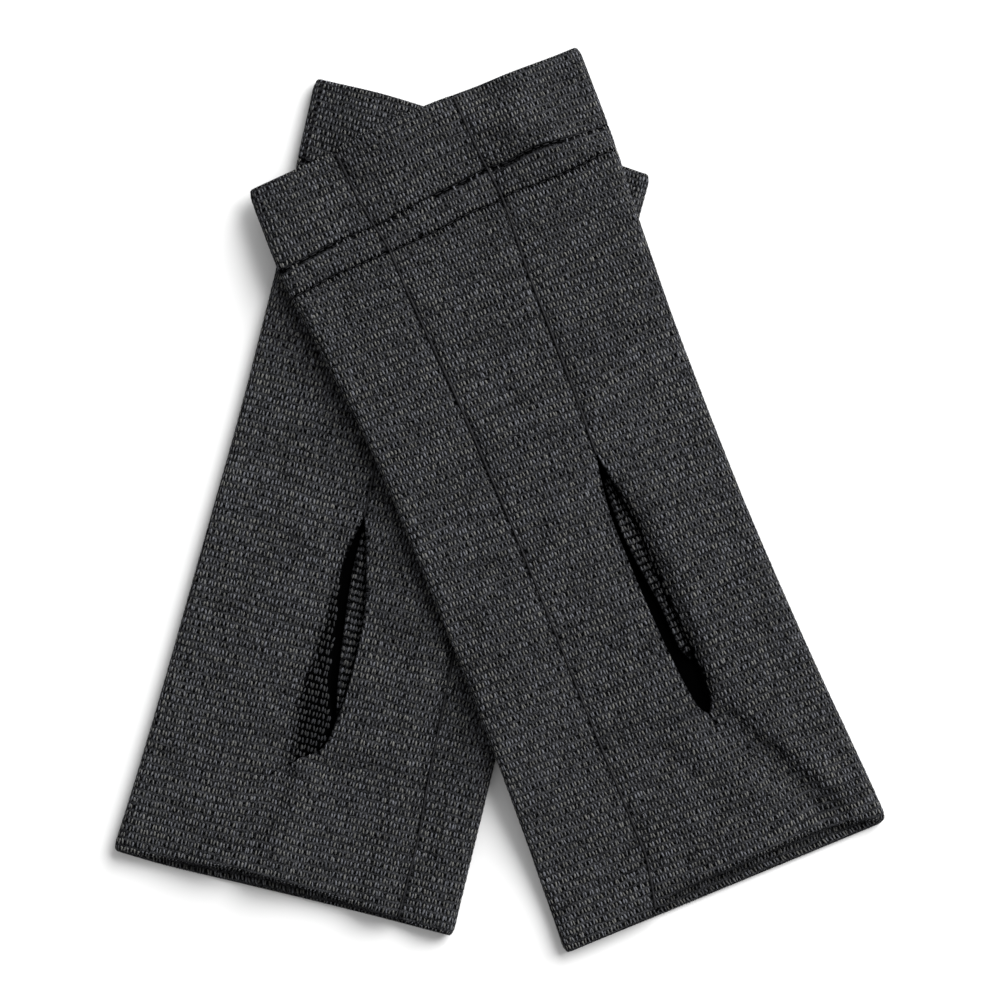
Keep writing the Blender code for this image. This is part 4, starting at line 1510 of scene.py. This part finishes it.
def along_seam(warmer, seam, start, end, lift):
    """Points along one of the long seams on the upper wall, from start to end."""
    station = steps(start, end, SEAM_PATH_STEP)
    across = seam(station)
    along = warmer.true_along(station, across, 1.0)
    return warmer.points(along, across, warmer.upper_height(along, across, "palm") + lift)


def ramp(g, value, stops):
    """A colour ramp through (place, colour) stops."""
    node = g.add("ShaderNodeValToRGB", {"Fac": value})
    elements = node.color_ramp.elements
    while len(elements) > 1:
        elements.remove(elements[-1])
    elements[0].position = stops[0][0]
    elements[0].color = (*stops[0][1], 1.0)
    for place, colour in stops[1:]:
        elements.new(place).color = (*colour, 1.0)
    return node.outputs["Color"]


def wool_shader(name, roughness, specular, sheen):
    """A soft material of fibres, ready for its colour and relief."""
    material = bpy.data.materials.new(name)
    material.use_nodes = True
    g = Graph(material.node_tree)
    shader = material.node_tree.nodes["Principled BSDF"]
    shader.inputs["Roughness"].default_value = roughness
    shader.inputs["Specular IOR Level"].default_value = specular
    shader.inputs["Sheen Weight"].default_value = sheen
    shader.inputs["Sheen Roughness"].default_value = 0.6
    shader.inputs["Sheen Tint"].default_value = (0.75, 0.8, 0.9, 1.0)
    return material, g, shader


def mixed(g, share, first, second, blend="MIX"):
    """One colour mixed with another by a share."""
    node = g.add("ShaderNodeMix", data_type="RGBA", blend_type=blend)
    g.feed(node.inputs[0], share)
    g.feed(node.inputs[6], first)
    g.feed(node.inputs[7], second)
    return node.outputs[2]


def mark(g, name):
    """What the surface keeps under a name, as a material reads it."""
    return g.add("ShaderNodeAttribute", attribute_name=name).outputs["Fac"]


def relief(g, shader, height, distance, strength):
    """Raises the surface by a height, in bump."""
    bump = g.add("ShaderNodeBump", {"Strength": strength, "Distance": distance, "Height": height})
    g.feed(shader.inputs["Normal"], bump.outputs["Normal"])


def marled_yarn(name, colours):
    """The loops' yarn: charcoal, blue-grey and warm grey fibres spun together."""
    material, g, shader = wool_shader(name, 0.82, 0.2, 0.04)
    place = g.add("ShaderNodeTexCoord").outputs["Object"]
    fibres = g.noise(place, YARN_FIBRES, 2.0, 0.7)
    marl = g.math("SUBTRACT", mark(g, "marl"), 0.5 * FIBRE_SHARE)
    marl = g.math("MULTIPLY_ADD", fibres, FIBRE_SHARE, marl)
    dark, light = Vector(colours.dark_yarn), Vector(colours.light_yarn)
    middle = dark.lerp(light, 0.33)
    grey = ramp(g, marl, ((0.3, dark), (0.64, middle), (1.0, light)))
    # Painted shade: the yarn darkens where the cloth under it holds painted shade
    kept = g.math("MULTIPLY_ADD", mark(g, PAINTED_SHADE), -PAINTED_SHADE_DARKENS, 1.0)
    grey = mixed(g, 1.0, grey, g.vector(kept, kept, kept), "MULTIPLY")
    warmth = g.math("SUBTRACT", mark(g, "warmth"), 0.5 * TINT_FIBRE_SHARE)
    warmth = g.math("MULTIPLY_ADD", g.noise(place, TINT_FIBRES), TINT_FIBRE_SHARE, warmth)
    warm = g.math("MULTIPLY_ADD", warmth, TINT_CONTRAST, 0.5 - 0.5 * TINT_CONTRAST)
    warm = g.math("MINIMUM", g.math("MAXIMUM", warm, 0.0), 1.0)
    tint = mixed(g, warm, (*colours.cool_tint, 1.0), (*colours.warm_tint, 1.0))
    g.feed(shader.inputs["Base Color"], mixed(g, 1.0, grey, tint, "MULTIPLY"))
    relief(g, shader, fibres, 0.00012, 0.6)
    return material


def knit_ground(name, colours, knit, seam, fineness=1.0):
    """The cloth under the loops: darker, partly in its own dark tone and partly as painted shade in the
    slots between the loops, with faint rows and wales, and painted shade in the sewn grooves and where
    the cloth holds painted shade.
    """
    material, g, shader = wool_shader(name, 0.95, 0.0, 0.0)
    chart = g.add("ShaderNodeUVMap", uv_map=CHART).outputs[0]
    at = g.add("ShaderNodeSeparateXYZ", {0: chart}).outputs
    across = g.math("MULTIPLY_ADD", at["X"], 1.0 / CHART_PER_METRE, -CHART_ACROSS / CHART_PER_METRE)
    along = g.math("MULTIPLY_ADD", at["Y"], 1.0 / CHART_PER_METRE, -CHART_ALONG / CHART_PER_METRE)
    place = g.math("SUBTRACT", along, row_wander(g, across, along, knit.unevenness))
    place = g.math("DIVIDE", g.math("SUBTRACT", place, seam * MM), knit.row_pitch * fineness)
    rows = g.math("COSINE", g.math("MULTIPLY", place, 2.0 * math.pi))
    rows = g.math("POWER", g.math("MULTIPLY_ADD", rows, 0.5, 0.5), ROW_SHARPNESS)
    wales = g.math("COSINE", g.math("MULTIPLY", across, 2.0 * math.pi / knit.stitch_pitch))
    rows = g.math("MULTIPLY", rows, g.math("MULTIPLY_ADD", wales, WALE_SHARE, 1.0 - WALE_SHARE))
    by_row = g.math("MULTIPLY", g.math("ROUND", place), MARL_BY_ROW)
    streak = g.noise(g.vector(g.math("MULTIPLY", across, STREAK_ACROSS), by_row))
    fibres = g.noise(g.add("ShaderNodeTexCoord").outputs["Object"], GROUND_FIBRES, 3.0, 0.7)
    shade = g.math("MULTIPLY", rows, g.math("MULTIPLY", streak, STREAK_SHARE))
    shade = g.math("ADD", g.math("MULTIPLY_ADD", fibres, *GROUND_CONTRAST), shade)
    # Painted shade: darker in the cuff's sewn grooves and where the cloth holds painted shade
    shade = g.math("MULTIPLY", shade, g.math("MULTIPLY_ADD", mark(g, GROOVE), -GROOVE_PAINTED_SHADE, 1.0))
    shade = g.math("MULTIPLY", shade, g.math("MULTIPLY_ADD", mark(g, PAINTED_SHADE), -PAINTED_SHADE_DARKENS, 1.0))
    ground = Vector(colours.ground)
    # The ramp's near-black end is partly painted shade in the slots between the loops, below the yarn's
    # own dark tone
    colour = ramp(g, shade, ((0.16, ground * 0.05), (0.42, ground * 1.5), (0.8, ground * 4.6)))
    g.feed(shader.inputs["Base Color"], colour)
    relief(g, shader, shade, 0.0002, 0.7)
    return material


def sewing_thread(name, colours):
    """Dark polished thread, lightly twisted."""
    material, g, shader = wool_shader(name, 0.65, 0.15, 0.0)
    place = g.add("ShaderNodeTexCoord").outputs["Object"]
    twist = g.noise(place, THREAD_TWIST, 2.0)
    thread = Vector(colours.thread)
    g.feed(shader.inputs["Base Color"], ramp(g, twist, ((0.3, thread * 0.6), (0.7, thread * 1.6))))
    relief(g, shader, twist, 0.00008, 0.5)
    return material


class KnitSizes(bpy.types.PropertyGroup):
    """Sizes of the knit's rows and loops."""

    row_pitch: FloatProperty(
        name="Row pitch", description="From one row of loops to the next",
        default=1.85 * MM, min=0.5 * MM, unit="LENGTH", precision=5,
    )
    cuff_rows: FloatProperty(
        name="Cuff rows", description="The cuff's row pitch and loop length, as a share of the body's",
        default=0.83, min=0.3, max=1.5, subtype="FACTOR",
    )
    stitch_pitch: FloatProperty(
        name="Stitch pitch", description="From one loop to the next across a row",
        default=0.92 * MM, min=0.3 * MM, unit="LENGTH", precision=5,
    )
    loop_length: FloatProperty(
        name="Loop length", description="Length of one raised loop",
        default=1.5 * MM, min=0.3 * MM, unit="LENGTH", precision=5,
    )
    loop_width: FloatProperty(
        name="Loop width", description="Width of one raised loop",
        default=0.62 * MM, min=0.1 * MM, unit="LENGTH", precision=5,
    )
    loop_height: FloatProperty(
        name="Loop height", description="How far a loop stands above the ground",
        default=0.2 * MM, min=0.02 * MM, unit="LENGTH", precision=5,
    )
    lean: FloatProperty(
        name="Lean", description="How far a loop's tip leans from its root, to alternate sides",
        default=0.2 * MM, min=0.0, unit="LENGTH", precision=5,
    )
    unevenness: FloatProperty(
        name="Unevenness", description="How uneven the loops' places and lengths are",
        default=1.0, min=0.0, max=3.0, subtype="FACTOR",
    )
    seed: IntProperty(name="Seed", description="Seed of the loops' unevenness", default=7, min=0)


class YarnColours(bpy.types.PropertyGroup):
    """Colours of the yarns, the ground and the thread."""

    dark_yarn: FloatVectorProperty(
        name="Dark yarn", description="Darkest fibres of the marl",
        default=(0.014, 0.0142, 0.015), subtype="COLOR", min=0.0, max=1.0,
    )
    light_yarn: FloatVectorProperty(
        name="Light yarn", description="Lightest fibres of the marl",
        default=(0.09, 0.091, 0.094), subtype="COLOR", min=0.0, max=1.0,
    )
    cool_tint: FloatVectorProperty(
        name="Cool tint", description="Tint of the blue-grey fibres",
        default=(0.9, 0.92, 1.0), subtype="COLOR", min=0.0, max=1.0,
    )
    warm_tint: FloatVectorProperty(
        name="Warm tint", description="Tint of the warm grey fibres",
        default=(1.0, 0.98, 0.88), subtype="COLOR", min=0.0, max=1.0,
    )
    # The ground's dark tone: partly the yarn's own, partly painted shade between the loops
    ground: FloatVectorProperty(
        name="Ground", description="The knit between its raised loops",
        default=(0.009, 0.0092, 0.01), subtype="COLOR", min=0.0, max=1.0,
    )
    thread: FloatVectorProperty(
        name="Thread", description="Sewing thread",
        default=(0.006, 0.006, 0.007), subtype="COLOR", min=0.0, max=1.0,
    )


class SewingSizes(bpy.types.PropertyGroup):
    """Sizes of the stitches round the cuff and along the long seams."""

    stitch: FloatProperty(
        name="Stitch", description="Length of one stitch",
        default=1.9 * MM, min=0.2 * MM, unit="LENGTH", precision=5,
    )
    gap: FloatProperty(
        name="Gap", description="Between two stitches",
        default=0.5 * MM, min=0.0, unit="LENGTH", precision=5,
    )
    thickness: FloatProperty(
        name="Thickness", description="Thickness of the thread",
        default=0.32 * MM, min=0.05 * MM, unit="LENGTH", precision=5,
    )
    lift: FloatProperty(
        name="Lift", description="How far the thread lies above the groove's floor",
        default=0.1 * MM, min=-1.0 * MM, unit="LENGTH", precision=5,
    )
    seam_stitch: FloatProperty(
        name="Seam stitch", description="Length of one stitch of the long seams",
        default=2.6 * MM, min=0.2 * MM, unit="LENGTH", precision=5,
    )
    seam_overlap: FloatProperty(
        name="Seam overlap", description="How far the long seams' stitches overlap",
        default=1.1 * MM, min=0.0, unit="LENGTH", precision=5,
    )
    seam_thickness: FloatProperty(
        name="Seam thickness", description="Thickness of the long seams' stitches",
        default=0.74 * MM, min=0.05 * MM, unit="LENGTH", precision=5,
    )
    seam_lift: FloatProperty(
        name="Seam lift", description="How far those stitches lie above the seam's floor",
        default=0.26 * MM, min=-1.0 * MM, unit="LENGTH", precision=5,
    )


class StageSizes(bpy.types.PropertyGroup):
    """Sizes and places of the floor, the camera and the light."""

    frame_width: FloatProperty(
        name="Frame width", description="Width of the floor that the camera sees",
        default=261.0 * MM, min=0.05, unit="LENGTH",
    )
    camera_height: FloatProperty(
        name="Camera height", description="Height of the overhead camera",
        default=1.6, min=0.3, unit="LENGTH",
    )
    floor_size: FloatProperty(
        name="Floor size", description="Width of the floor", default=6.0, min=1.0, unit="LENGTH",
    )
    floor_colour: FloatVectorProperty(
        name="Floor colour", description="Pale grey that the light turns white",
        default=(0.66, 0.66, 0.66), subtype="COLOR", min=0.0, max=1.0,
    )
    key_power: FloatProperty(
        name="Key light", description="Power of the soft light from the upper right",
        default=237.0, min=0.0, unit="POWER",
    )
    key_place: FloatVectorProperty(
        name="Key light's place", description="Where the soft light stands, facing the pair",
        default=(1.64, 1.6, 1.6), subtype="TRANSLATION", unit="LENGTH",
    )
    key_size: FloatProperty(
        name="Key light's size", description="Width of the soft light",
        default=2.5, min=0.1, unit="LENGTH",
    )
    fill: FloatProperty(
        name="Fill light", description="Strength of the even light all round", default=0.6, min=0.0,
    )


def materials_of(context):
    """The pair's materials, made once."""
    colours, knit = context.scene.warmer_colours, context.scene.warmer_knit
    made = bpy.data.materials
    makers = {
        "marled_yarn": lambda name: marled_yarn(name, colours),
        "body_ground": lambda name: knit_ground(name, colours, knit, CUFF_DEPTH + 0.5 * SEAM_GAP),
        "cuff_ground": lambda name: knit_ground(
            name, colours, knit, CUFF_DEPTH - 0.5 * SEAM_GAP, knit.cuff_rows
        ),
        "facing_ground": lambda name: knit_ground(name, colours, knit, 0.0),
        "sewing_thread": lambda name: sewing_thread(name, colours),
    }
    return {name: made.get(name) or maker(name) for name, maker in makers.items()}


def node_tree(name, maker):
    """A node tree, made once."""
    return bpy.data.node_groups.get(name) or maker()


def warmer_pair():
    """The under warmer and the top one, which lies on it."""
    under = Warmer(UNDER)
    return under, Warmer(TOP, lies_on=under)


def build_walls(context, warmer):
    """The five walls of one warmer and the loops on each."""
    materials = materials_of(context)
    knit = context.scene.warmer_knit
    tree = node_tree("Knit loops", knit_tree)
    body, cuff, strip = body_ring(warmer), cuff_ring(), facing_ring(warmer)
    walls = (
        ("back_panel", back_wall(warmer, body, 1.0), "body_ground", SHOWN_INSIDE_HEM),
        ("palm_panel", palm_wall(warmer, body, 1.0), "body_ground", SHOWN_INSIDE_HEM),
        ("cuff_back", back_wall(warmer, cuff, -1.0), "cuff_ground", SHOWN_INSIDE_CUFF),
        ("cuff_palm", palm_wall(warmer, cuff, -1.0), "cuff_ground", SHOWN_INSIDE_CUFF),
        ("thumb_facing", facing_wall(warmer, strip), "facing_ground", SHOWN_INSIDE_FACING),
    )
    for i, (part, wall, ground, turned_in) in enumerate(walls):
        node = warmer.name + "_" + part
        piece = wall.build(node + "_cloth", materials[ground])
        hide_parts(node)
        cloth_sheet(wall)
        knit_on(piece, wall, tree, knit, materials["marled_yarn"], turned_in, knit.seed + 100 * i)


class WARMERS_OT_under(bpy.types.Operator):
    """Knit the under warmer"""

    bl_idname = "warmers.under"
    bl_label = "Under Warmer"
    bl_options = {"REGISTER", "UNDO"}

    def execute(self, context):
        under, _ = warmer_pair()
        build_walls(context, under)
        return {"FINISHED"}


class WARMERS_OT_top(bpy.types.Operator):
    """Knit the top warmer, which lies across the under one"""

    bl_idname = "warmers.top"
    bl_label = "Top Warmer"
    bl_options = {"REGISTER", "UNDO"}

    def execute(self, context):
        _, top = warmer_pair()
        build_walls(context, top)
        return {"FINISHED"}


class WARMERS_OT_sewing(bpy.types.Operator):
    """Sew the two stitched lines round each cuff, and the long seams"""

    bl_idname = "warmers.sewing"
    bl_label = "Sewing"
    bl_options = {"REGISTER", "UNDO"}

    def execute(self, context):
        sewing = context.scene.warmer_sewing
        thread = materials_of(context)["sewing_thread"]
        tree = node_tree("Sewn stitches", thread_tree)
        cuff_stitch = {"Stitch": sewing.stitch, "Gap": sewing.gap, "Thickness": sewing.thickness}
        seam_stitch = {
            "Stitch": sewing.seam_stitch,
            "Gap": -sewing.seam_overlap,
            "Thickness": sewing.seam_thickness,
        }
        lift, seam_lift = sewing.lift / MM, sewing.seam_lift / MM
        for warmer in warmer_pair():
            last = warmer.hem_end - SEAM_ENDS
            long_seam = along_seam(warmer, warmer.long_seam, SEAM_ENDS, last, seam_lift)
            thumb_seam = along_seam(warmer, warmer.thumb_seam, SEAM_ENDS, warmer.slit[0], seam_lift)
            routes = {
                "topstitch": (around_cuff(warmer, warmer.topstitch, lift), cuff_stitch),
                "joining_stitch": (around_cuff(warmer, warmer.joining, lift), cuff_stitch),
                "long_seam": (long_seam, seam_stitch),
                "thumb_seam": (thumb_seam, seam_stitch),
            }
            for name, (route, stitch) in routes.items():
                path = path_mesh(warmer.name + "_" + name + "_path", route)
                values = {"Path": path, "Thread": thread, **stitch}
                grown(warmer.name + "_" + name, tree, values)
                bpy.data.objects.remove(path, do_unlink=True)
        return {"FINISHED"}


def area_light(name, place, size, power):
    """A soft square light at a place, facing the pair's middle."""
    light = bpy.data.lights.new(name, "AREA")
    light.shape = "SQUARE"
    light.size = size
    light.energy = power
    lamp = bpy.data.objects.new(name, light)
    lamp.location = place
    lamp.rotation_euler = (-Vector(place)).to_track_quat("-Z", "Y").to_euler()
    bpy.context.scene.collection.objects.link(lamp)


class WARMERS_OT_stage(bpy.types.Operator):
    """Add the white floor, the soft light and the overhead camera"""

    bl_idname = "warmers.stage"
    bl_label = "Stage"
    bl_options = {"REGISTER", "UNDO"}

    def execute(self, context):
        sizes = context.scene.warmer_stage
        mesh = bpy.data.meshes.new("floor")
        bm = bmesh.new()
        bmesh.ops.create_grid(bm, x_segments=2, y_segments=2, size=0.5 * sizes.floor_size)
        bm.to_mesh(mesh)
        bm.free()
        white = bpy.data.materials.new("white_floor")
        white.use_nodes = True
        shader = white.node_tree.nodes["Principled BSDF"]
        shader.inputs["Base Color"].default_value = (*sizes.floor_colour, 1.0)
        shader.inputs["Roughness"].default_value = 0.9
        shader.inputs["Specular IOR Level"].default_value = 0.1
        mesh.materials.append(white)
        floor = bpy.data.objects.new("floor", mesh)
        context.scene.collection.objects.link(floor)
        floor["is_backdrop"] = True
        area_light("key", sizes.key_place, sizes.key_size, sizes.key_power)
        world = bpy.data.worlds.new("soft_light")
        world.use_nodes = True
        background = world.node_tree.nodes["Background"]
        background.inputs["Color"].default_value = (1.0, 1.0, 1.0, 1.0)
        background.inputs["Strength"].default_value = sizes.fill
        context.scene.world = world
        context.scene.view_settings.view_transform = "Standard"
        lens = bpy.data.cameras.new("camera")
        lens.lens = lens.sensor_width * sizes.camera_height / sizes.frame_width
        camera = bpy.data.objects.new("camera", lens)
        camera.location = (0.0, 0.0, sizes.camera_height)
        context.scene.collection.objects.link(camera)
        context.scene.camera = camera
        return {"FINISHED"}


class WARMERS_PT_panel(bpy.types.Panel):
    """The pair's sizes, colours and steps"""

    bl_idname = "WARMERS_PT_panel"
    bl_label = "Wrist Warmers"
    bl_space_type = "VIEW_3D"
    bl_region_type = "UI"
    bl_category = "Wrist Warmers"

    def draw(self, context):
        """Every setting, then one button for each step."""
        layout = self.layout
        for settings in SETTINGS:
            group = getattr(context.scene, settings)
            box = layout.box()
            for name in group.bl_rna.properties.keys():
                if name not in ("rna_type", "name"):
                    box.prop(group, name)
        for step in STEPS:
            layout.operator(step.bl_idname)


SETTINGS = {
    "warmer_knit": KnitSizes,
    "warmer_colours": YarnColours,
    "warmer_sewing": SewingSizes,
    "warmer_stage": StageSizes,
}
STEPS = (WARMERS_OT_stage, WARMERS_OT_under, WARMERS_OT_top, WARMERS_OT_sewing)


def register():
    """Registers the classes and hangs the settings on the scene."""
    for kind in (*SETTINGS.values(), *STEPS, WARMERS_PT_panel):
        bpy.utils.register_class(kind)
    for name, kind in SETTINGS.items():
        setattr(bpy.types.Scene, name, PointerProperty(type=kind))


def unregister():
    """Takes the settings and the classes away again."""
    for name in SETTINGS:
        delattr(bpy.types.Scene, name)
    for kind in (WARMERS_PT_panel, *reversed(STEPS), *reversed(SETTINGS.values())):
        bpy.utils.unregister_class(kind)


def main():
    """Makes the stage and the pair."""
    register()
    bpy.ops.warmers.stage()
    bpy.ops.warmers.under()
    bpy.ops.warmers.top()
    bpy.ops.warmers.sewing()
    boxes = {"cad": CAD_BOX, "visual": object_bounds()}
    plain = {name: [list(map(float, corner)) for corner in box] for name, box in boxes.items()}


if __name__ == "__main__":
    main()
